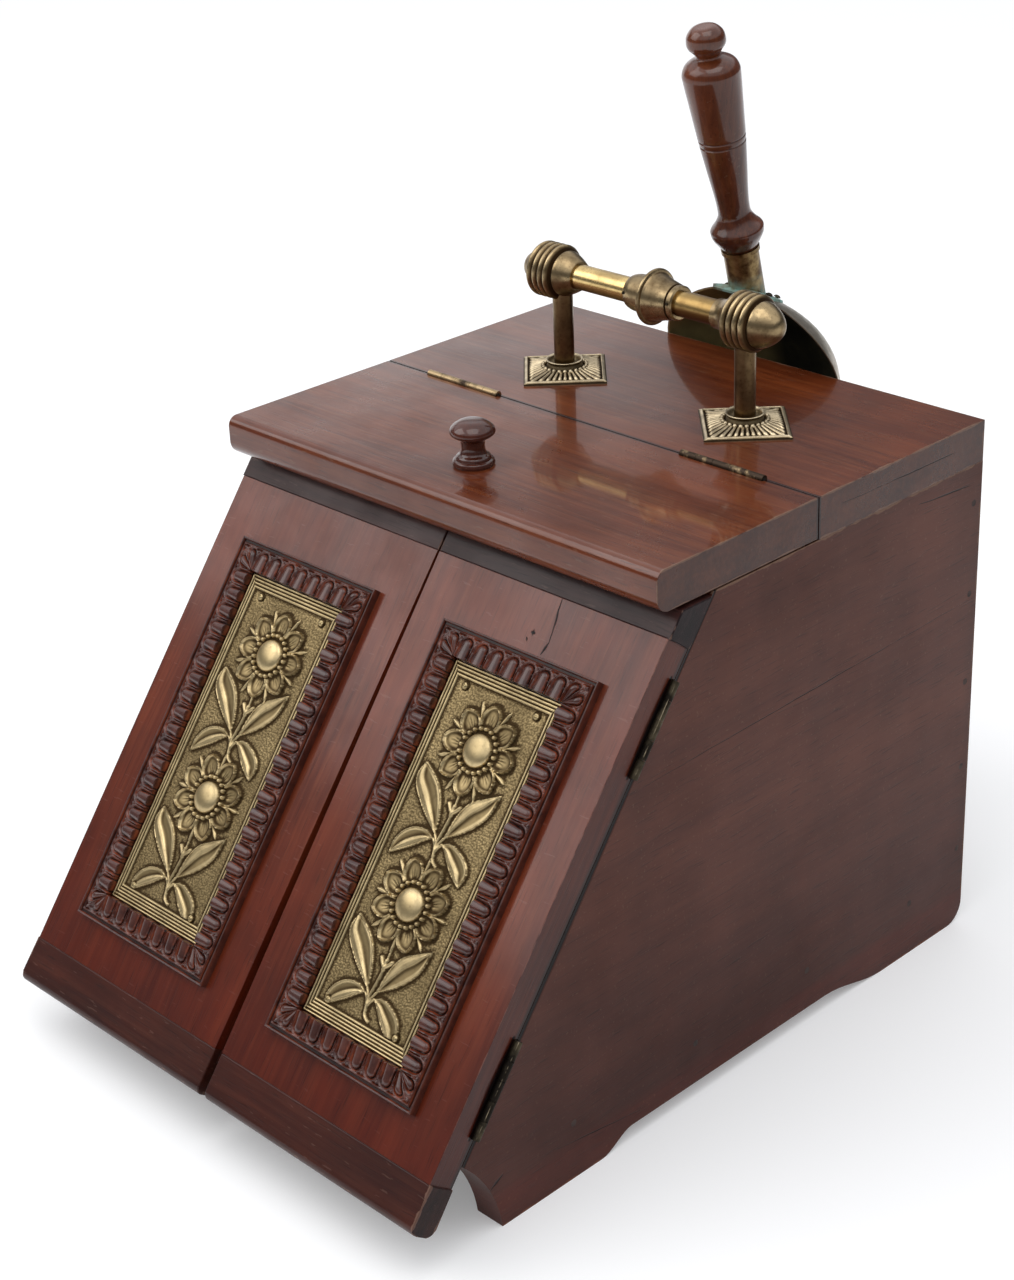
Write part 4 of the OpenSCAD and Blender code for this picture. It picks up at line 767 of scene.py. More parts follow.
# One lobe is repeated along a rail by this tree
carver, taken, given = tree_of("lobes_along_a_rail", [
    ("Geometry", "Geometry", None), ("Lobes", "Int", None), ("Pitch", "Float", None),
    ("Stretch", "Float", None), ("Wood", "Material", None)], [("Geometry", "Geometry")], "GeometryNodeTree")
pitch = add(carver, "ShaderNodeCombineXYZ", {0: taken.outputs["Pitch"]})
rail = add(carver, "GeometryNodeMeshLine", {"Count": taken.outputs["Lobes"], "Offset": pitch.outputs[0]},
           mode="OFFSET")
size = add(carver, "ShaderNodeCombineXYZ", {0: taken.outputs["Stretch"], 1: 1.0, 2: 1.0})
copies = add(carver, "GeometryNodeInstanceOnPoints", {
    "Points": rail.outputs[0], "Instance": taken.outputs["Geometry"], "Scale": size.outputs[0]})
real = add(carver, "GeometryNodeRealizeInstances", {0: copies.outputs[0]})
joined = add(carver, "GeometryNodeMergeByDistance", {"Geometry": real.outputs[0], "Distance": 0.02})
finished = add(carver, "GeometryNodeSetMaterial", {
    "Geometry": joined.outputs[0], "Material": taken.outputs["Wood"]})
carver.links.new(finished.outputs[0], given.inputs[0])


def through_nodes(holder, tree, values):
    """The plain mesh that a Geometry Nodes tree makes of an object, with the named inputs set."""
    modifier = holder.modifiers.new(tree.name, "NODES")
    modifier.node_group = tree
    for item in tree.interface.items_tree:
        if item.in_out == "INPUT" and item.name in values:
            modifier[item.identifier] = values[item.name]
    bpy.context.view_layer.update()
    mesh = bpy.data.meshes.new_from_object(holder.evaluated_get(bpy.context.evaluated_depsgraph_get()))
    holder.modifiers.remove(modifier)
    return mesh


# Painted light and shade on the carving: the tone in its hollow attribute paints the channels and the outer
# hollow near black for their shade, and the flanks red for the light thrown back inside the hollows; the coat
# thins in the channels
frame_wood, tree, place = new_material("carved_wood")
deep = add(tree, "ShaderNodeAttribute", attribute_name="hollow").outputs["Fac"]
patchy = spread(tree, noise(tree, place, 130, 4, 0.6), 0.35, 0.68)
painted_bounce_red = between(tree, patchy, (0.045, 0.0080, 0.0035, 1), (0.210, 0.042, 0.014, 1))
high_brown = between(tree, patchy, (0.040, 0.0100, 0.0065, 1), (0.085, 0.022, 0.013, 1))
colour = between(tree, spread(tree, deep, 0.15, 0.45), high_brown, painted_bounce_red)
colour = between(tree, spread(tree, deep, 0.60, 0.95), colour, (0.008, 0.003, 0.0025, 1))
skin_of(tree, {
    "Base Color": colour, "Roughness": spread(tree, patchy, 0, 1, 0.34, 0.44), "Coat Roughness": 0.20,
    "Coat Weight": spread(tree, deep, 0.55, 0.95, 0.75, 0.15), "Specular IOR Level": 0.2},
        noise(tree, place, 900, 3, 0.6), 0.18, 0.0003)

unit_points, unit_faces, unit_shade = strip(*lobe_unit())
corner_x, corner_y, corner_h, corner_tone = corner_patch()
corner_points, corner_faces, corner_shade = strip(RAIL - corner_x, RAIL - corner_y, corner_h, corner_tone)


def holder_of(points, faces, shade):
    mesh = bpy.data.meshes.new("carving")
    mesh.from_pydata([tuple(point) for point in points], [], faces)
    mark(mesh, shade)
    made = bpy.data.objects.new("carving", mesh)
    bpy.context.scene.collection.objects.link(made)
    return made


lobe = holder_of(unit_points, unit_faces, unit_shade)
lengths = {}
for word, whole, count in (("long", FRAME_L - 2 * RAIL, 19), ("short", FRAME_W - 2 * RAIL, 7)):
    pitch_mm = whole / count
    lengths[word] = through_nodes(lobe, carver, {
        "Lobes": count, "Pitch": pitch_mm, "Stretch": pitch_mm / LOBE, "Wood": frame_wood}), pitch_mm, whole
bpy.data.objects.remove(lobe)


def carved_frame(side, name):
    """Four rails and four corners in place on a door, welded into one carved mesh."""
    sign = 1 if side == "right" else -1
    whole = bmesh.new()
    shade = whole.verts.layers.float.new("hollow")
    for word, turns in (("long", (90, 270)), ("short", (0, 180))):
        mesh, pitch_mm, length = lengths[word]
        half = FRAME_W / 2 if word == "long" else FRAME_L / 2
        for turn in turns:
            spin = Matrix.Rotation(math.radians(turn), 4, "Z")
            spin = spin @ Matrix.Translation((-length / 2 + pitch_mm / 2, -half, 0))
            part = bmesh.new()
            part.from_mesh(mesh)
            part.transform(spin)
            spare = bpy.data.meshes.new("spare")
            part.to_mesh(spare)
            part.free()
            whole.from_mesh(spare)
            bpy.data.meshes.remove(spare)
    for sx, sy in ((-1, -1), (1, -1), (1, 1), (-1, 1)):
        mesh = bpy.data.meshes.new("spare")
        placed_points = (corner_points - np.array([FRAME_W / 2, FRAME_L / 2, 0])) * np.array([-sx, -sy, 1])
        mesh.from_pydata([tuple(point) for point in placed_points], [], corner_faces)
        mark(mesh, corner_shade)
        whole.from_mesh(mesh)
        bpy.data.meshes.remove(mesh)
    bmesh.ops.remove_doubles(whole, verts=whole.verts, dist=0.03)
    for vertex in whole.verts:
        x, s, o = vertex.co
        vertex.co = on_door(x + DOOR_MID, s + FRAME_MID, o, sign)
    bmesh.ops.recalc_face_normals(whole, faces=whole.faces)
    mesh = bpy.data.meshes.new(name)
    whole.to_mesh(mesh)
    whole.free()
    mesh.materials.clear()
    made = put_in_scene(name, mesh, frame_wood, sharp=60)
    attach(made, f"{side}_door")
    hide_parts(f"{side}_door_moulding")


for side in ("right", "left"):
    carved_frame(side, f"{side}_carved_frame")


# ---- The brass plates ----
# Thin sheet brass stamped from the back in dies: ruled borders, a pebbled ground, and two flowers on
# leafy stems, with rubbed high places and brown lacquer left in the hollows. Both doors have the
# same plate, and four slotted round-headed pins hold each.
PLATE_W, PLATE_L, PLATE_T = 80.6, 205.2, 1.2
FLOWERS = (62.1, -26.2)
PIN_X, PIN_S = 26.8, 91.0
chance = np.random.default_rng(7)


def along_line(x, s, points):
    """Distance of every point of the plate from a line through the given points."""
    best = np.full(x.shape, 1e9)
    for (x0, s0), (x1, s1) in zip(points, points[1:]):
        dx, ds = x1 - x0, s1 - s0
        t = np.clip(((x - x0) * dx + (s - s0) * ds) / max(dx * dx + ds * ds, 1e-9), 0, 1)
        best = np.minimum(best, np.hypot(x - x0 - t * dx, s - s0 - t * ds))
    return best


def within(x, s, outline):
    """Which points lie inside a closed outline."""
    inside = np.zeros(x.shape, bool)
    for (x0, s0), (x1, s1) in zip(outline, outline[1:] + outline[:1]):
        crosses = ((s0 > s) != (s1 > s)) & (x < (x1 - x0) * (s - s0) / (s1 - s0 + 1e-12) + x0)
        inside ^= crosses
    return inside


def rounded(value, edge):
    """Rises smoothly from 0 to 1 as value goes from 0 to edge."""
    t = np.clip(value / edge, 0, 1)
    return t * t * (3 - 2 * t)


def hollows(height, reach):
    """How deep a point of a relief lies below its surroundings, from 0 to 1."""
    wide = height.copy()
    for axis in (0, 1):
        total = np.zeros_like(wide)
        for k in range(-reach, reach + 1):
            total += np.roll(wide, k, axis)
        wide = total / (2 * reach + 1)
    return np.clip((wide - height) * 1.6 + 0.35, 0, 1)


def petals(x, s, reach, half_most, turn, root, widest, blunt):
    """Signed distance inside a ring of eight petals, and the places along and across each."""
    angle = np.arctan2(s, x) - math.radians(turn)
    step = math.pi / 4
    angle = angle - np.round(angle / step) * step
    radius = np.hypot(x, s)
    up, across = radius * np.cos(angle), radius * np.sin(angle)
    t = np.clip((up - root) / (reach - root), 1e-4, 1)

    def half(q):
        return half_most * np.sin(math.pi * np.clip(q, 0, 1) ** widest) ** blunt
    slope = (half(np.minimum(t + 0.02, 1)) - half(t)) / (0.02 * (reach - root))
    inside = (half(t) - np.abs(across)) / np.sqrt(1 + np.clip(slope, -3, 3) ** 2)
    inside = np.where((up > reach) | (up < root), -np.maximum(up - reach, root - up), inside)
    return np.where(up <= 0, -9.0, inside), up, across


def flower_relief(x, s, turn):
    radius = np.hypot(x, s)
    height = np.zeros(x.shape)
    inside, up, across = petals(x, s, 28.0, 2.3, turn + 22.5, 9.0, 0.95, 0.9)
    sepal = 0.3 + 1.0 * np.clip(1 - np.abs(across) / 1.5, 0, 1)
    height = np.where(inside > 0, sepal * rounded(inside, 0.5), height)
    inside, up, across = petals(x, s, 25.8, 6.5, turn, 7.0, 1.22, 0.56)
    face = 0.95 - 0.50 * rounded(inside, 2.6) + 0.35 * np.clip((up - 17) / 8, 0, 1)
    for spread_out in (-0.16, 0.0, 0.16):
        vein = across - spread_out * (up - 8)
        face -= 0.22 * np.exp(-(vein / 0.42) ** 2) * np.clip((21.5 - 9 * abs(spread_out) - up) / 4, 0, 1)
    face = np.maximum(face, 0.15) + 1.35 * np.exp(-((inside - 0.55) / 0.46) ** 2)
    cover = rounded(inside + 0.10, 0.40)
    height = np.where(inside > -0.10, height * (1 - cover) + face * cover, height)
    # Ring of twenty beads round a smooth dome
    height = np.where(radius < 13.9, 0.35, height)
    step = 2 * math.pi / 20
    angle = np.arctan2(s, x)
    angle = angle - np.round(angle / step) * step
    bead = np.hypot(radius * np.cos(angle) - 12.2, radius * np.sin(angle))
    bead_top = 1.1 + 1.5 * np.sqrt(np.clip(1.30 ** 2 - bead ** 2, 0, None))
    height = np.where(bead < 1.30, np.maximum(height, bead_top), height)
    dome = 1.0 + 3.8 * np.sqrt(np.clip(1 - (radius / 9.5) ** 2, 0, 1)) ** 0.9
    return np.where(radius < 9.5, dome, height)


# Outlines of the four leaves below each flower: tip, one edge down to the base, the other back up
LEAVES = (
    ((-29.8, -15.9), ((-32.6, -23.4), (-29.8, -30.8), (-18.6, -40.6)), (-4.3, -49.5),
     ((-6.0, -40.2), (-11.6, -28.8), (-18.6, -21.9)), 1),
    ((27.0, -15.9), ((17.6, -20.9), (9.0, -26.6), (4.2, -36.6)), (2.4, -49.5),
     ((13.4, -42.4), (21.4, -34.4), (25.6, -26.4)), 1),
    ((-29.6, -69.2), ((-29.0, -61.0), (-25.6, -54.6), (-19.2, -50.0), (-11.0, -48.7)), (-4.3, -51.6),
     ((-9.0, -55.0), (-14.6, -59.6), (-22.6, -65.0)), 0),
    ((24.6, -69.4), ((27.0, -62.8), (24.8, -57.2), (18.4, -52.6), (9.0, -49.9)), (3.0, -52.6),
     ((6.6, -55.6), (11.0, -60.2), (17.0, -65.2)), 0))
# The stems between them: points along the middle, half the width, and the height
STEMS = (
    ([(-0.2, -20.0), (0.3, -28.0), (0.6, -33.0)], 0.75, 1.1),
    ([(0.9, -35.5), (0.1, -44.0), (-0.9, -53.3), (0.2, -59.0), (1.4, -62.6), (4.9, -64.6)], 0.95, 1.5),
    ([(-4.3, -49.3), (-1.8, -52.4), (-0.4, -56.5)], 0.8, 1.4),
    ([(2.4, -49.3), (0.6, -53.6), (-0.2, -58.0)], 0.8, 1.4),
    ([(-4.3, -51.7), (-2.0, -54.0), (-0.6, -57.5)], 0.8, 1.3),
    ([(3.0, -52.6), (1.2, -55.2), (0.0, -58.5)], 0.8, 1.3),
    ([(0.6, -36.6), (0.6, -33.0), (0.6, -31.6)], 1.35, 1.9),
    ([(0.6, -35.6), (-1.8, -33.2), (-3.6, -31.2)], 1.35, 1.9),
    ([(0.6, -35.6), (3.0, -33.4), (4.5, -31.4)], 1.35, 1.9))
# How high a leaf stands at each share of its width, with a fold along the middle
FOLD = ((0, 0.08, 0.28, 0.44, 0.50, 0.56, 0.75, 0.92, 1.0),
        (1.0, 1.25, 1.65, 1.45, 0.80, 0.70, 0.85, 1.2, 1.4))


def leaf_relief(x, s, tip, first, base, second, convex_first):
    left = smooth_run([tip, *first, base], 8)
    right = smooth_run([base, *second, tip], 8)
    near = (x > min(p[0] for p in left + right) - 2) & (x < max(p[0] for p in left + right) + 2) & (
        s > min(p[1] for p in left + right) - 2) & (s < max(p[1] for p in left + right) + 2)
    height = np.zeros(x.shape)
    px, ps = x[near], s[near]
    inside = within(px, ps, left[:-1] + right[:-1])
    to_left, to_right = along_line(px, ps, left), along_line(px, ps, right)
    across = to_left / (to_left + to_right + 1e-6)
    if not convex_first:
        across = 1 - across
    edge = np.minimum(to_left, to_right)
    face = np.interp(across, *FOLD)
    face = face * (0.5 + 0.5 * rounded(edge, 2.0)) + 0.75 * np.exp(-((edge - 0.40) / 0.34) ** 2)
    shown = np.where(inside, face * rounded(edge + 0.05, 0.35), 0)
    height[near] = shown
    return height


def stem_relief(x, s, points, width, tall):
    line = smooth_run(points, 8)
    distance = along_line(x, s, line)
    return tall * np.sqrt(np.clip(1 - (distance / width) ** 2, 0, 1))


def plate_relief(x, s):
    """Height of the stamped plate over its sheet at each point from the plate's middle."""
    # Pebbled ground: small rounded grains scattered close together
    grid = 1.15
    nx, ns = int(PLATE_W / grid) + 3, int(PLATE_L / grid) + 3
    jitter = chance.uniform(-0.42, 0.42, (nx, ns, 2)) * grid
    size = chance.uniform(0.42, 0.66, (nx, ns))
    ix, js = np.floor(x / grid + nx / 2).astype(int), np.floor(s / grid + ns / 2).astype(int)
    ground = np.zeros(x.shape)
    for di in (-1, 0, 1):
        for dj in (-1, 0, 1):
            i, j = np.clip(ix + di, 0, nx - 1), np.clip(js + dj, 0, ns - 1)
            cx = (i - nx / 2 + 0.5) * grid + jitter[i, j, 0]
            cs = (j - ns / 2 + 0.5) * grid + jitter[i, j, 1]
            away = np.hypot(x - cx, s - cs) / size[i, j]
            ground = np.maximum(ground, 0.18 * np.sqrt(np.clip(1 - away ** 2, 0, 1)))
    height = 0.15 + ground
    for middle in FLOWERS:
        fx, fs = x, s - middle
        raised = np.zeros(x.shape)
        for points, width, tall in STEMS:
            raised = np.maximum(raised, stem_relief(fx, fs, points, width, tall))
        for leaf in LEAVES:
            raised = np.maximum(raised, leaf_relief(fx, fs, *leaf))
        covered = rounded(raised, 0.4)
        height = height * (1 - covered) + np.maximum(raised + 0.1, height) * covered
    for middle, turn in zip(FLOWERS, (0, 22.5)):
        raised = flower_relief(x, s - middle, turn)
        covered = rounded(raised, 0.35)
        height = height * (1 - covered) + (raised + 0.15) * covered
    # Ruled borders with mitred corners: three lines at the sides, four at the top and five at the foot
    side = (PLATE_W / 2 - np.abs(x)) / 6.3
    end = np.where(s > 0, (PLATE_L / 2 - s) / 8.2, (PLATE_L / 2 + s) / 9.6)
    lines = np.where(side < end, 3, np.where(s > 0, 4, 5))
    depth = np.minimum(side, end)
    ruled = 0.15 + 0.95 * np.abs(np.sin(math.pi * depth * lines)) ** 0.7
    # A shallow ring is pressed in round each pin
    for px in (-PIN_X, PIN_X):
        for ps in (-PIN_S, PIN_S):
            height = height - 0.45 * ridge(np.hypot(x - px, s - ps) - 2.35, 0.55)
    return np.where(depth < 1, ruled, height)


def relief_piece(name, xs, ss, height, under, put, material, reach=5, ground=0.0):
    """A closed plate from a net of heights: the worked face, its edges and a flat back. What lies
    lower than ground keeps more of the brown lacquer."""
    columns, rows = len(xs), len(ss)
    grid_x, grid_s = np.meshgrid(xs, ss, indexing="ij")
    face = put(grid_x, grid_s, height).reshape(-1, 3)
    index = np.arange(columns * rows).reshape(columns, rows)
    rim = np.concatenate([index[:, 0], index[-1, 1:], index[-2::-1, -1], index[0, -2:0:-1]])
    back = put(grid_x.reshape(-1)[rim], grid_s.reshape(-1)[rim], np.full(len(rim), under))
    points = np.concatenate([face, back])
    quads = np.stack([index[:-1, :-1], index[1:, :-1], index[1:, 1:], index[:-1, 1:]], -1).reshape(-1, 4)
    low = np.arange(len(rim)) + columns * rows
    walls = np.stack([rim, np.roll(rim, -1), np.roll(low, -1), low], -1)[:, ::-1]
    mesh = bpy.data.meshes.new(name)
    mesh.from_pydata(points.tolist(), [], quads.tolist() + walls.tolist() + [low.tolist()])
    deep = np.clip(hollows(height, reach) + 0.16 * (height < ground), 0, 1)
    mark(mesh, np.concatenate([deep.reshape(-1), np.zeros(len(rim))]))
    turn_outwards(mesh)
    return put_in_scene(name, mesh, material, sharp=75)


# Old lacquered brass: bright where it stands proud, brown in the hollows, faintly stained all over
patina, taken, given = tree_of("brass_patina", [
    ("Vector", "Vector", None), ("Hollow", "Float", 0.3), ("Bright", "Color", None),
    ("Brass", "Color", None), ("Brown", "Color", None), ("Stain", "Float", 0.3), ("Scale", "Float", 90.0)],
    [("Color", "Color"), ("Rough", "Float")])
cloud = spread(patina, noise(patina, taken.outputs["Vector"], taken.outputs["Scale"], 5, 0.62), 0.36, 0.68)
speck = spread(patina, noise(patina, taken.outputs["Vector"], maths(
    patina, "MULTIPLY", taken.outputs["Scale"], 8.0), 3, 0.6), 0.55, 0.75)
dull = maths(patina, "MULTIPLY", cloud, taken.outputs["Stain"])
colour = between(patina, spread(patina, taken.outputs["Hollow"], 0.10, 0.36), taken.outputs["Bright"],
                 taken.outputs["Brass"])
colour = between(patina, spread(patina, taken.outputs["Hollow"], 0.36, 0.85), colour, taken.outputs["Brown"])
colour = between(patina, dull, colour, taken.outputs["Brown"])
specked = maths(patina, "MULTIPLY", speck, maths(patina, "MULTIPLY", taken.outputs["Stain"], 0.5))
colour = between(patina, specked, colour, taken.outputs["Brown"])
patina.links.new(colour, given.inputs["Color"])
patina.links.new(maths(patina, "ADD", maths(patina, "MULTIPLY", dull, 0.22), maths(
    patina, "MULTIPLY", spread(patina, taken.outputs["Hollow"], 0.3, 0.9), 0.22)), given.inputs["Rough"])


def brass(name, bright, middle, brown, rough, stain=0.3, scale=90.0, hollow=None, bump=0.1):
    made, tree, place = new_material(name)
    if hollow is None:
        hollow = add(tree, "ShaderNodeAttribute", attribute_name="hollow").outputs["Fac"]
    skin = placed(tree, "brass_patina", {
        "Vector": place, "Hollow": hollow, "Bright": (*bright, 1), "Brass": (*middle, 1),
        "Brown": (*brown, 1),
        "Stain": stain, "Scale": scale})
    skin_of(tree, {
        "Base Color": skin.outputs["Color"], "Roughness": maths(tree, "ADD", skin.outputs["Rough"], rough),
        "Metallic": 1.0}, noise(tree, place, 900, 3, 0.6), bump, 0.0002)
    return made


plate_brass = brass("stamped_brass", (0.60, 0.465, 0.25), (0.33, 0.245, 0.120), (0.055, 0.034, 0.015), 0.34,
                    stain=0.40, scale=45)
# The net is closer over the ruled borders
columns = np.concatenate([np.linspace(-40.3, -34.0, 28)[:-1], np.linspace(-34.0, 34.0, 148),
                          np.linspace(34.0, 40.3, 28)[1:]])
rows = np.concatenate([np.linspace(-102.6, -93.0, 40)[:-1], np.linspace(-93.0, 94.4, 402),
                       np.linspace(94.4, 102.6, 34)[1:]])
net_x, net_s = np.meshgrid(columns, rows, indexing="ij")
stamped = plate_relief(net_x, net_s) + PLATE_T - 0.3


def domed_head(radius, tall, slot_width, slot_deep, around=28):
    """A slotted round head on its own, foot at the origin, as points and faces."""
    shaped = bmesh.new()
    dome = [(radius * math.cos(math.radians(turn)), tall * math.sin(math.radians(turn)) + 0.1)
            for turn in (15, 30, 45, 58, 70, 81)]
    points, faces = lathe([(0, -0.2), (radius, -0.2), (radius, 0.1)] + dome + [(0, tall + 0.1)], around)
    made = [shaped.verts.new(point) for point in points]
    for face in faces:
        shaped.faces.new([made[i] for i in face])
    for vertex in shaped.verts:
        if abs(vertex.co.y) < slot_width and vertex.co.z > 0.3:
            vertex.co.z = max(tall + 0.1 - slot_deep, 0.15)
    mesh = bpy.data.meshes.new("head")
    shaped.to_mesh(mesh)
    shaped.free()
    return mesh


pin_brass = brass("pin_brass", (0.62, 0.50, 0.28), (0.42, 0.32, 0.16), (0.07, 0.045, 0.02), 0.28, stain=0.4,
                  scale=500, hollow=0.25)
for side, sign in (("right", 1), ("left", -1)):
    # The same stamping on both doors: across the door the left one runs the other way
    plate = relief_piece(f"{side}_stamped_plate", columns, rows, stamped, 0.0,
                         lambda x, s, o: on_door(sign * x + DOOR_MID, s + FRAME_MID, o, sign), plate_brass,
                         ground=PLATE_T + 0.08)
    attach(plate, f"{side}_door")
    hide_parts(f"{side}_door_plate")
    heads = bmesh.new()
    for i, (px, ps) in enumerate(((-PIN_X, -PIN_S), (PIN_X, -PIN_S), (PIN_X, PIN_S), (-PIN_X, PIN_S))):
        head = domed_head(1.95, 1.30, 0.34, 0.6)
        head.transform(Matrix.Translation((px, ps, PLATE_T + 0.30)) @ Matrix.Rotation(0.6 + 1.3 * i, 4, "Z"))
        heads.from_mesh(head)
    for vertex in heads.verts:
        vertex.co = on_door(sign * vertex.co.x + DOOR_MID, vertex.co.y + FRAME_MID, vertex.co.z, sign)
    bmesh.ops.recalc_face_normals(heads, faces=heads.faces)
    mesh = bpy.data.meshes.new(f"{side}_plate_pin_heads")
    heads.to_mesh(mesh)
    heads.free()
    pins = put_in_scene(f"{side}_plate_pin_heads", mesh, pin_brass, sharp=40)
    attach(pins, f"{side}_door")
    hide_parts(f"{side}_plate_pins")


# ---- The door hinges ----
# Brass butts let into the doors' backs and the edges of the sides, like the lid's. Their brass is painted
# dark, for tarnish and for the shade of the joint they sit in, and thin pale lines painted along each barrel
# stand for its highlights; each leaf is held by three countersunk screws.
edge_brass = plain_metal("dark_hinge_brass", (0.13, 0.105, 0.065), (0.022, 0.018, 0.014), 0.50, scale=60,
                         share=(0.46, 0.72))
tree = edge_brass.node_tree
metal = next(node for node in tree.nodes if node.type == "BSDF_PRINCIPLED")
place = in_doors_plane(tree, add(tree, "ShaderNodeTexCoord").outputs["Object"])
spot = add(tree, "ShaderNodeSeparateXYZ", {0: place})
either = add(tree, "ShaderNodeCombineXYZ", {
    0: maths(tree, "ABSOLUTE", spot.outputs[0]), 1: spot.outputs[1], 2: spot.outputs[2]})
# Painted highlights: two thin pale lines along each barrel, broken into patches, where its curve catches the
# light
painted_barrel_highlights = 0.0
for turn, wide in ((-38, 0.00042), (46, 0.00030)):
    x, o = 0.1716 + 0.0023 * math.cos(math.radians(turn)), -0.0180 + 0.0023 * math.sin(math.radians(turn))
    line = placed(tree, "crack_line", {"Vector": either.outputs[0], "From": (x, 0.0, o), "To": (x, 0.40, o),
                                       "Width": wide, "Waver": 0.0007})
    painted_barrel_highlights = maths(tree, "MAXIMUM", painted_barrel_highlights, line.outputs[0])
before = metal.inputs["Base Color"].links[0].from_socket
patches = spread(tree, noise(tree, place, 160, 4, 0.6), 0.44, 0.62)
tree.links.new(between(tree, maths(tree, "MULTIPLY", painted_barrel_highlights, patches), before, (0.42, 0.34, 0.23, 1)),
               metal.inputs["Base Color"])
clothe(edge_brass, "dark_brass", *[f"{side}_{level}_hinge_{leaf}_leaf" for side in ("left", "right")
                                   for level in ("upper", "lower") for leaf in ("side", "door")])

screw_maker, taken, given = tree_of("screws_in_a_row", [
    ("Geometry", "Geometry", None), ("Count", "Int", None), ("Start", "Vector", None),
    ("Step", "Vector", None), ("Metal", "Material", None)], [("Geometry", "Geometry")], "GeometryNodeTree")
row = add(screw_maker, "GeometryNodeMeshLine", {
    "Count": taken.outputs["Count"], "Start Location": taken.outputs["Start"],
    "Offset": taken.outputs["Step"]}, mode="OFFSET")
turns = add(screw_maker, "FunctionNodeRandomValue", {"Min": (0, 0, 0), "Max": (0, 0, 3.1), "Seed": 5},
            data_type="FLOAT_VECTOR")
heads = add(screw_maker, "GeometryNodeInstanceOnPoints", {
    "Points": row.outputs[0], "Instance": taken.outputs["Geometry"], "Rotation": turns.outputs[0]})
real = add(screw_maker, "GeometryNodeRealizeInstances", {0: heads.outputs[0]})
finished = add(screw_maker, "GeometryNodeSetMaterial", {
    "Geometry": real.outputs[0], "Material": taken.outputs["Metal"]})
screw_maker.links.new(finished.outputs[0], given.inputs[0])


def screw_row(name, body, count, start, step, place):
    """Slotted screw heads in a row in the plane of a leaf, put in place by a matrix."""
    radius = 2.3
    points, faces = lathe([(0, -0.25), (radius, -0.25), (radius, 0.0), (radius - 0.25, 0.05), (0, 0.05)], 20)
    head = mesh_piece(name, points, faces, smooth=False)
    cut = bmesh.new()
    cut.from_mesh(head.data)
    for offset in (-0.28, 0.28):
        bmesh.ops.bisect_plane(cut, geom=cut.verts[:] + cut.edges[:] + cut.faces[:],
                               plane_co=(0, offset, 0), plane_no=(0, 1, 0))
    for face in cut.faces:
        middle = face.calc_center_median()
        if abs(middle.y) < 0.27 and face.normal.z > 0.9:
            for vertex in face.verts:
                vertex.co.z = -0.18
    cut.to_mesh(head.data)
    cut.free()
    mesh = through_nodes(head, screw_maker, {
        "Count": count, "Start": start, "Step": step, "Metal": edge_brass})
    bpy.data.objects.remove(head)
    mesh.transform(Matrix.Scale(MM, 4) @ place)
    turn_outwards(mesh)
    made = bpy.data.objects.new(name, mesh)
    bpy.context.scene.collection.objects.link(made)
    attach(made, body)


# In the doors' plane: u up the slope, v outwards across, w towards the viewer of the leaf
slope_up = Vector((0, math.cos(DOOR_SLOPE), math.sin(DOOR_SLOPE)))
slope_out = Vector((0, -math.sin(DOOR_SLOPE), math.cos(DOOR_SLOPE)))
for side, sign in (("right", 1), ("left", -1)):
    for word, s in (("lower", 82.0), ("upper", 281.97)):
        for leaf, off, facing in (("side", -19.2, slope_out), ("door", -18.0, -slope_out)):
            body = "box" if leaf == "side" else f"{side}_door"
            middle = Vector(on_door(171.6 - 8.6, s, off, sign)) / MM
            place = Matrix((slope_up, facing.cross(slope_up), facing)).transposed().to_4x4()
            screw_row(f"{side}_{word}_{leaf}_leaf_screws", body, 3, (-19.0, 0, 0), (19.0, 0, 0),
                      Matrix.Translation(middle) @ place)


# ---- The carrying handle ----
# Two square stamped rosettes set cornerwise, plain posts, and a tube between two ringed bosses. Two
# small pins hold a turned collar on its middle. All old brass, bright along the top of the bar's left
# half, browner underneath, and brown elsewhere.
HANDLE_Y, BAR_Z, POST_X = SHIFT_Y - 93.5, TOP_Z + 62.5, 71.5
handle_brass = brass("handle_brass", (0.62, 0.475, 0.27), (0.31, 0.22, 0.112), (0.055, 0.030, 0.013), 0.24,
                     stain=0.75, scale=70, bump=0.08)
rosette_brass = brass("rosette_brass", (0.72, 0.59, 0.39), (0.34, 0.26, 0.145), (0.035, 0.021, 0.012), 0.34,
                      stain=0.5, scale=110)
post_brass = brass("post_brass", (0.42, 0.31, 0.17), (0.21, 0.14, 0.068), (0.050, 0.026, 0.011), 0.26,
                   stain=0.8, scale=60, hollow=0.34, bump=0.08)
ROSETTE = 50.0


def rosette_relief(x, y):
    """A bevelled border round forty radiating petals that climb to a ring of beads."""
    edge = ROSETTE / 2 - np.maximum(np.abs(x), np.abs(y))
    radius, angle = np.hypot(x, y), np.arctan2(y, x)
    border = np.interp(edge, [0, 0.25, 2.1, 2.4, 2.9], [0.9, 1.3, 2.35, 2.3, 0.9])
    swell = 0.9 + 3.1 * np.clip((27.5 - radius) / 15.5, 0, 1) ** 1.4
    flute = np.abs(np.cos(angle * 20))
    reach = np.clip((edge - 2.9) / 2.4, 0, 1)
    petal = np.clip(flute - 0.45 * (1 - reach) ** 2, 0, 1)
    fluted = swell - 0.25 + 1.7 * petal ** 1.1 * np.sqrt(reach)
    beads = 24
    step = 2 * math.pi / beads
    turned = angle - np.round(angle / step) * step
    bead = np.hypot(radius * np.cos(turned) - 13.1, radius * np.sin(turned))
    height = np.where(edge < 2.8, border, fluted)
    height = np.where(radius < 14.4, 3.2, height)
    bead_top = 3.6 + 1.3 * np.sqrt(np.clip(1.45 ** 2 - bead ** 2, 0, None))
    height = np.where(bead < 1.45, np.maximum(height, bead_top), height)
    return np.where(radius < 10.8, 4.4, height)


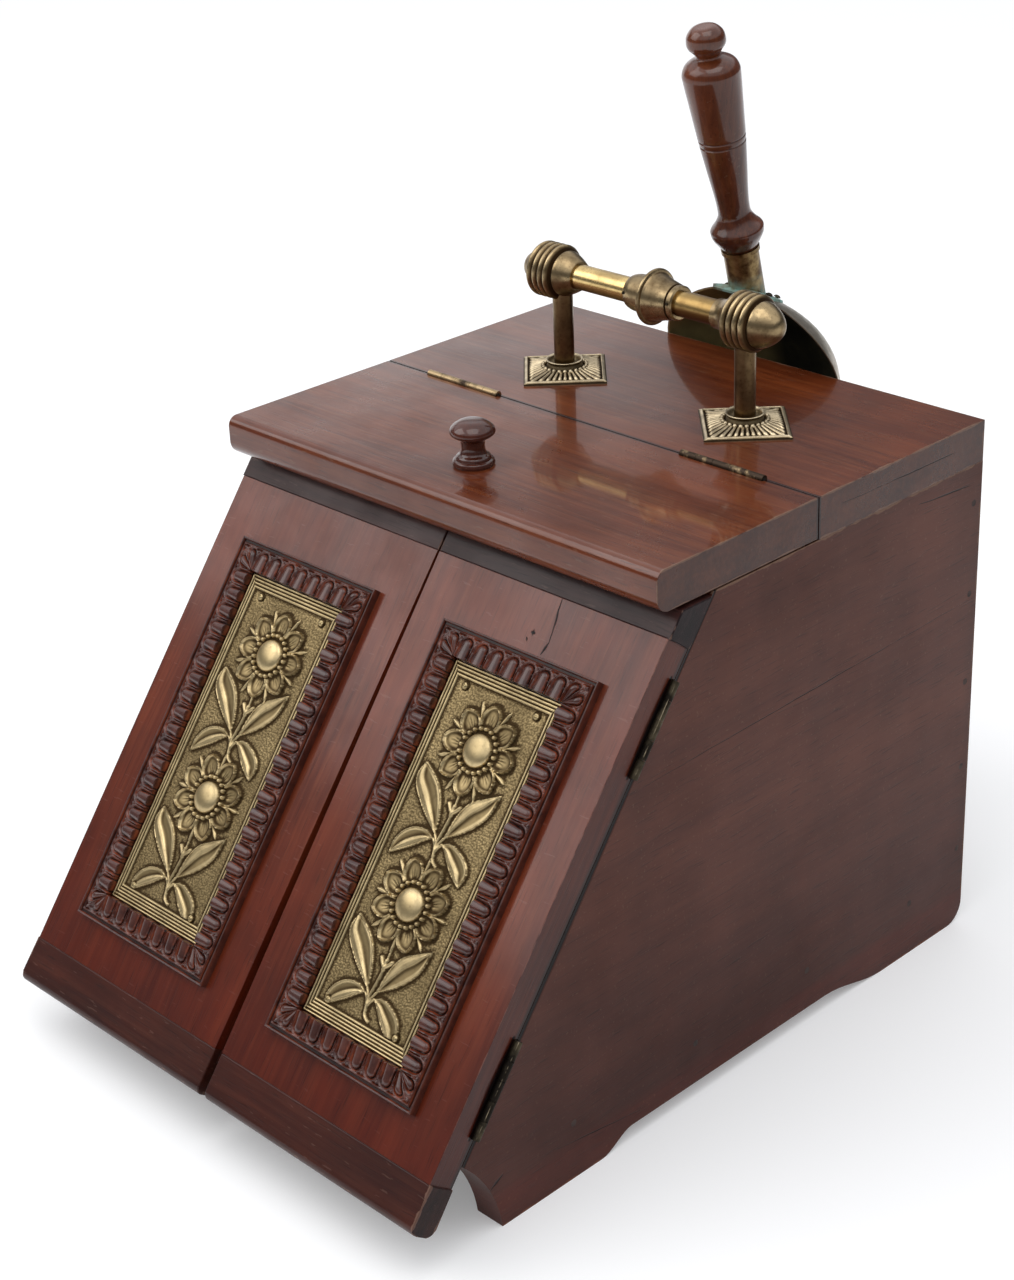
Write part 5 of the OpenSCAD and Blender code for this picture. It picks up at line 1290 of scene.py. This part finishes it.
steps = np.linspace(-ROSETTE / 2, ROSETTE / 2, 176)
net_x, net_y = np.meshgrid(steps, steps, indexing="ij")
rosette_net = rosette_relief(net_x, net_y)
cup = [(6.26, 3.4), (10.9, 3.4)] + smooth_run([(11.0, 4.4), (10.6, 5.4), (10.3, 6.4), (10.7, 7.4)], 5)
cup += smooth_run([(11.3, 7.7), (11.5, 8.15), (11.1, 8.5), (10.5, 8.45)], 5)
cup += smooth_run([(9.9, 7.7), (8.9, 5.8), (7.6, 4.9), (6.26, 4.8)], 5)


def ring_piece(outline, place, around=72):
    """Points and faces of a turned ring, whose outline closes on itself."""
    points, faces = [], []
    for k in range(around):
        turn = 2 * math.pi * k / around
        points += [place @ Vector((radius * math.cos(turn), radius * math.sin(turn), up)) * MM
                   for radius, up in outline]
    n = len(outline)
    for k in range(around):
        for i in range(n):
            j, m = (i + 1) % n, (k + 1) % around
            faces.append((k * n + i, m * n + i, m * n + j, k * n + j))
    return points, faces


for side, sign in (("right", 1), ("left", -1)):
    def set_down(x, y, o):
        turn = math.sqrt(0.5)
        return np.stack([sign * POST_X + (x - y) * turn, HANDLE_Y + (x + y) * turn, TOP_Z + 0.02 + o],
                        -1) * MM
    rosette = relief_piece(f"{side}_rosette_plate", steps, steps, rosette_net, 0.0, set_down, rosette_brass,
                           reach=6)
    points, faces = ring_piece(cup, Matrix.Translation((sign * POST_X, HANDLE_Y, TOP_Z)))
    rim = mesh_piece("rim", points, faces, rosette_brass, sharp=60)
    mark(rim.data, np.interp(
        [point.co.z / MM for point in rim.data.vertices], [336.5, 339.5, 341.4], [0.75, 0.45, 0.05]))
    joined = bmesh.new()
    joined.from_mesh(rosette.data)
    joined.from_mesh(rim.data)
    joined.to_mesh(rosette.data)
    joined.free()
    bpy.data.objects.remove(rim)
    rosette.data.polygons.foreach_set("use_smooth", [True] * len(rosette.data.polygons))
    rosette.data.set_sharp_from_angle(angle=math.radians(70))
    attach(rosette, "box")
    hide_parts(f"{side}_rosette")

    post_outline = [(0, 335.0), (6.2, 335.0), (6.2, 345), (6.15, 370), (6.2, 391), (0, 391)]
    post = turned_piece(f"{side}_handle_post", post_outline,
                        Matrix.Translation((sign * POST_X, HANDLE_Y, 0)), post_brass, around=48)
    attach(post, "box")
    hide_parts(f"{side}_post")

# Both bosses point the same way along the bar: the right one ends in an acorn, the left one starts
# with a plain cone and ends in a flare. Four deep-grooved rings go round each.
RING, RINGS_R = 4.4, 16.6


def rings_from(start, count=4, steps=10):
    """Half-round rings side by side, as radius and place along the bar."""
    line = [(RINGS_R - 2.2 + 2.2 * math.sin(math.pi * i / steps) ** 0.75, start + RING * (k + i / steps))
            for k in range(count) for i in range(steps)]
    return line + [(RINGS_R - 2.2, start + count * RING)]


right_outline = [(0, 52.0)] + smooth_run([(8.7, 52.0), (9.0, 56.0), (11.0, 60.8), (14.0, 64.2)], 6)
right_outline += rings_from(64.8)
right_outline += smooth_run([
    (13.0, 83.0), (13.5, 84.2), (12.5, 87.4), (10.5, 91.0), (7.7, 94.6), (4.4, 97.1), (0, 98.1)], 6)
left_outline = [(0, 56.5)] + smooth_run([
    (8.8, 56.5), (9.5, 57.5), (11.6, 61.5), (13.4, 65.9), (13.6, 67.4)], 6) + [(12.7, 68.4)]
left_outline += rings_from(69.2)
left_outline += smooth_run([(14.0, 87.3), (11.4, 88.9), (9.5, 92.0), (8.1, 95.0), (6.2, 96.8), (0, 97.5)], 6)


def shade_turned(piece, deep_at):
    """Gives a turned piece on the bar its hollow value, from place along the bar, radius and height."""
    spots = np.empty(len(piece.data.vertices) * 3, np.float32)
    piece.data.vertices.foreach_get("co", spots)
    x, y, z = spots.reshape(-1, 3).T / MM
    mark(piece.data, deep_at(x, np.hypot(y - HANDLE_Y, z - BAR_Z), z - BAR_Z))


for side, sign, outline in (("right", 1, right_outline), ("left", -1, left_outline)):
    place = Matrix.Translation((0, HANDLE_Y, BAR_Z)) @ Matrix.Rotation(sign * math.pi / 2, 4, "Y")
    boss = turned_piece(f"{side}_ringed_boss", outline, place, handle_brass, sharp=30)
    start = 64.8 if side == "right" else 69.2
    shade_turned(boss, lambda x, radius, up: np.where(
        (np.abs(x) > start - 1.2) & (np.abs(x) < start + 4 * RING + 0.8),
        np.interp(radius, [12.9, 14.6, 15.6, 16.6], [1, 0.95, 0.5, 0.15]), 0.28))
    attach(boss, "box")
    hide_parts(f"{side}_boss")

bar_brass = brass("gold_and_brown_bar_brass", (0.88, 0.64, 0.28), (0.64, 0.44, 0.17), (0.15, 0.075, 0.024), 0.20,
                  stain=0.5, scale=60, bump=0.06)
along_bar = Matrix.Translation((0, HANDLE_Y, BAR_Z)) @ Matrix.Rotation(math.pi / 2, 4, "Y")
bar = turned_piece("handle_tube", [(0, -60)] + [(7.5, up) for up in range(-60, 61, 6)] + [(0, 60)],
                   along_bar, bar_brass, around=56)
# The top of its left half is gold; it is browner underneath and towards the right
shade_turned(bar, lambda x, radius, up: np.clip(
    np.interp(x, [-30, 10, 30, 50], [0.08, 0.22, 0.56, 0.64])
    + np.interp(up, [-7.5, -2.5, 1.0, 7.5], [0.65, 0.42, 0.02, 0.0]), 0, 1))
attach(bar, "box")
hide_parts("handle_bar")
# The collar: a barrel, a thin flange and a bell with a ring at its end
collar_outline = [(7.52, -13.8), (9.1, -13.8)] + smooth_run([
    (9.6, -13.3), (10.2, -12), (10.9, -9), (11.3, -4), (11.7, 2.2)], 6)
collar_outline += smooth_run([(15.9, 2.8), (16.6, 3.2), (16.7, 4.0), (16.3, 4.8), (14.7, 5.2)], 5)
collar_outline += smooth_run([(14.1, 6.2), (13.3, 9), (12.1, 13), (11.2, 17), (10.6, 19.5)], 6)
collar_outline += [(9.7, 20.0), (10.3, 20.6), (10.2, 23.2), (9.2, 24.0), (7.52, 24.0)]
points, faces = ring_piece(collar_outline, along_bar)
collar = mesh_piece("turned_collar", points, faces, handle_brass, sharp=30)
shade_turned(collar, lambda x, radius, up: np.where(
    ((x > 1.2) & (x < 3.4) & (radius < 13)) | ((x > 19.4) & (x < 20.5)), 0.95, 0.26))
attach(collar, "box")
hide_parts("bar_collar")
clothe(edge_brass, "dark_brass", "collar_pins")


# ---- The hand scoop ----
# A bowl raised from sheet brass, nearly black inside from coal, with a cast socket riveted to its
# domed end. Verdigris has crept over the socket's foot. The grip is turned mahogany on a tenon.
SCOOP_PLACE = Matrix.Translation((-4, SHIFT_Y + 0.35, TOP_Z)) @ Matrix.Rotation(math.radians(13.4), 4, "X")
BOWL_HALF, BOWL_D, DOME_L, DOME_START, LIP, FLARE, SHEET = 67.0, 36.0, 50.0, -5.0, 151.5, 2.0, 1.2
BOWL_OFF = (BOWL_HALF ** 2 - BOWL_D ** 2) / (2 * BOWL_D)


def bowl_sheet(grow, rows, columns):
    """A net over the bowl's inner or outer face, from the lip up to the crown."""
    deep = BOWL_D + grow
    lip_half = math.sqrt((BOWL_OFF + BOWL_D + FLARE + SHEET) ** 2 - BOWL_OFF ** 2)
    low = np.array([-LIP + lip_half * (1 - math.cos(math.pi / 2 * t)) for t in np.linspace(0, 1, rows // 3)])
    high = DOME_START + (DOME_L + grow) * np.sin(np.linspace(0, math.pi / 2, rows // 3))
    mid = np.linspace(low[-1], high[0], rows // 3)[1:-1]
    levels = np.concatenate([low, mid, high])
    net = []
    for v in levels:
        if v <= DOME_START:
            d = deep + FLARE * (DOME_START - v) / (DOME_START + LIP)
        else:
            d = deep * (1 - ((v - DOME_START) / (DOME_L + grow)) ** 2.1)
        radius = BOWL_OFF + max(d, 0)
        half = math.acos(min(BOWL_OFF / radius, 1))
        if v < -LIP + lip_half:
            wide = math.sqrt(max(lip_half ** 2 - (v + LIP - lip_half) ** 2, 0))
            half = min(half, math.asin(min(wide / radius, 1)))
        net.append([(radius * math.sin(half * t), radius * math.cos(half * t) - BOWL_OFF, v)
                    for t in np.linspace(-1, 1, columns)])
    return net


outer, inner = bowl_sheet(SHEET, 60, 61), bowl_sheet(0.0, 60, 61)
rows, columns = len(outer), 61
points = [SCOOP_PLACE @ Vector(point) * MM for net in (outer, inner) for line in net for point in line]


def at(net, r, c):
    """The number of a point: net 0 is the outside and net 1 the inside."""
    return net * rows * columns + r * columns + c


cells = [(r, c) for r in range(rows - 1) for c in range(columns - 1)]
faces = [(at(0, r, c), at(0, r, c + 1), at(0, r + 1, c + 1), at(0, r + 1, c)) for r, c in cells]
faces += [(at(1, r, c), at(1, r + 1, c), at(1, r + 1, c + 1), at(1, r, c + 1)) for r, c in cells]
for r in range(rows - 1):
    faces.append((at(0, r, 0), at(0, r + 1, 0), at(1, r + 1, 0), at(1, r, 0)))
    faces.append((at(0, r, columns - 1), at(1, r, columns - 1), at(1, r + 1, columns - 1),
                  at(0, r + 1, columns - 1)))
coal_black, tree, place = new_material("scoop_brass")
sooty = add(tree, "ShaderNodeAttribute", attribute_name="inside").outputs["Fac"]
cloud = spread(tree, noise(tree, place, 28, 5, 0.62), 0.35, 0.68)
fine = spread(tree, noise(tree, place, 240, 4, 0.6), 0.35, 0.70)
outside = between(tree, cloud, (0.37, 0.315, 0.235, 1), (0.57, 0.50, 0.41, 1))
outside = between(tree, maths(tree, "MULTIPLY", fine, 0.45), outside, (0.16, 0.125, 0.075, 1))
across = add(tree, "ShaderNodeSeparateXYZ", {0: place}).outputs["X"]
bare = maths(tree, "MULTIPLY", spread(tree, across, -0.008, -0.036), spread(tree, cloud, 0, 1, 0.55, 1.0),
             clamp=True)
darkened = between(tree, maths(tree, "MULTIPLY", fine, cloud), (0.020, 0.018, 0.013, 1), (0.10, 0.085, 0.045, 1))
darkened = between(tree, maths(tree, "MULTIPLY", bare, 0.85), darkened, (0.55, 0.41, 0.16, 1))
skin_of(tree, {
    "Base Color": between(tree, sooty, outside, darkened),
    "Roughness": maths(tree, "MULTIPLY_ADD", sooty, 0.22, spread(tree, fine, 0, 1, 0.28, 0.42)),
    "Metallic": maths(tree, "MULTIPLY_ADD", sooty, -0.6, 1.0)}, noise(tree, place, 60, 4, 0.6), 0.25, 0.0006)
mesh = bpy.data.meshes.new("scoop_bowl_sheet")
mesh.from_pydata([tuple(point) for point in points], [], faces)
mark(mesh, [0.0] * (rows * columns) + [1.0] * (rows * columns), "inside")
turn_outwards(mesh, 2e-6)
bowl = put_in_scene("scoop_bowl_sheet", mesh, coal_black, sharp=50)
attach(bowl, "scoop")
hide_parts("scoop_bowl")

# Socket and rivets: brown brass with green about the foot
green, tree, place = new_material("verdigris_brass")
up = add(tree, "ShaderNodeSeparateXYZ", {0: place}).outputs["Z"]
low_down = spread(tree, up, 0.388, 0.372)
bloom = spread(tree, noise(tree, place, 95, 5, 0.65), 0.40, 0.60)
cover = maths(tree, "MULTIPLY", low_down, spread(tree, bloom, 0, 1, 0.35, 1.25), clamp=True)
cloud = spread(tree, noise(tree, place, 120, 4, 0.6), 0.36, 0.66)
metal = between(tree, cloud, (0.085, 0.050, 0.022, 1), (0.36, 0.26, 0.12, 1))
crust = between(tree, bloom, (0.075, 0.165, 0.150, 1), (0.23, 0.42, 0.375, 1))
skin_of(tree, {
    "Base Color": between(tree, cover, metal, crust),
    "Metallic": maths(tree, "SUBTRACT", 1.0, cover, clamp=True),
    "Roughness": spread(tree, cover, 0, 1, 0.32, 0.72)}, noise(tree, place, 420, 4, 0.65), 0.35, 0.0004)
clothe(green, "dark_brass", "scoop_socket")
clothe(edge_brass, "dark_brass", "scoop_rivets")

GRIP_FOOT = 71.5
grip_shape = smooth_run([
    (11.3, 1.2), (15.3, 8), (16.1, 11.5), (15.6, 13.6), (12.4, 17.5), (10.1, 22), (9.7, 27), (10.3, 36),
    (12.1, 52), (13.8, 68)], 6)
grip_shape += [(13.3, 68.6), (13.9, 69.3), (14.1, 71.6), (13.6, 72.2), (14.2, 72.9)]
grip_shape += smooth_run([
    (14.3, 73.4), (15.7, 92), (17, 109), (16.9, 113.5), (14.8, 117.5), (11, 120), (7.4, 121.8), (7.3, 123.4),
    (8.6, 125.4), (11.1, 128.6), (11.5, 132), (10.4, 136), (6.5, 139.6), (0, 140)], 6)
grip_outline = [(0, GRIP_FOOT), (10.7, GRIP_FOOT)] + [(radius, GRIP_FOOT + up) for radius, up in grip_shape]
grip_wood = timber("grip_wood", ((0.060, 0.013, 0.004), (0.140, 0.032, 0.009), (0.21, 0.058, 0.018)),
                   (-0.1, 0.0, 0.3), (0.1, 0.4, 0.7), along="z", polish=0.9, rough=0.28, coat_rough=0.10,
                   grime=0.35, edge=0.0001, shift=0.4)
grip = turned_piece("turned_grip", grip_outline, SCOOP_PLACE @ Matrix.Translation((0, 6.7, 0)), grip_wood)
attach(grip, "scoop")
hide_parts("scoop_grip")
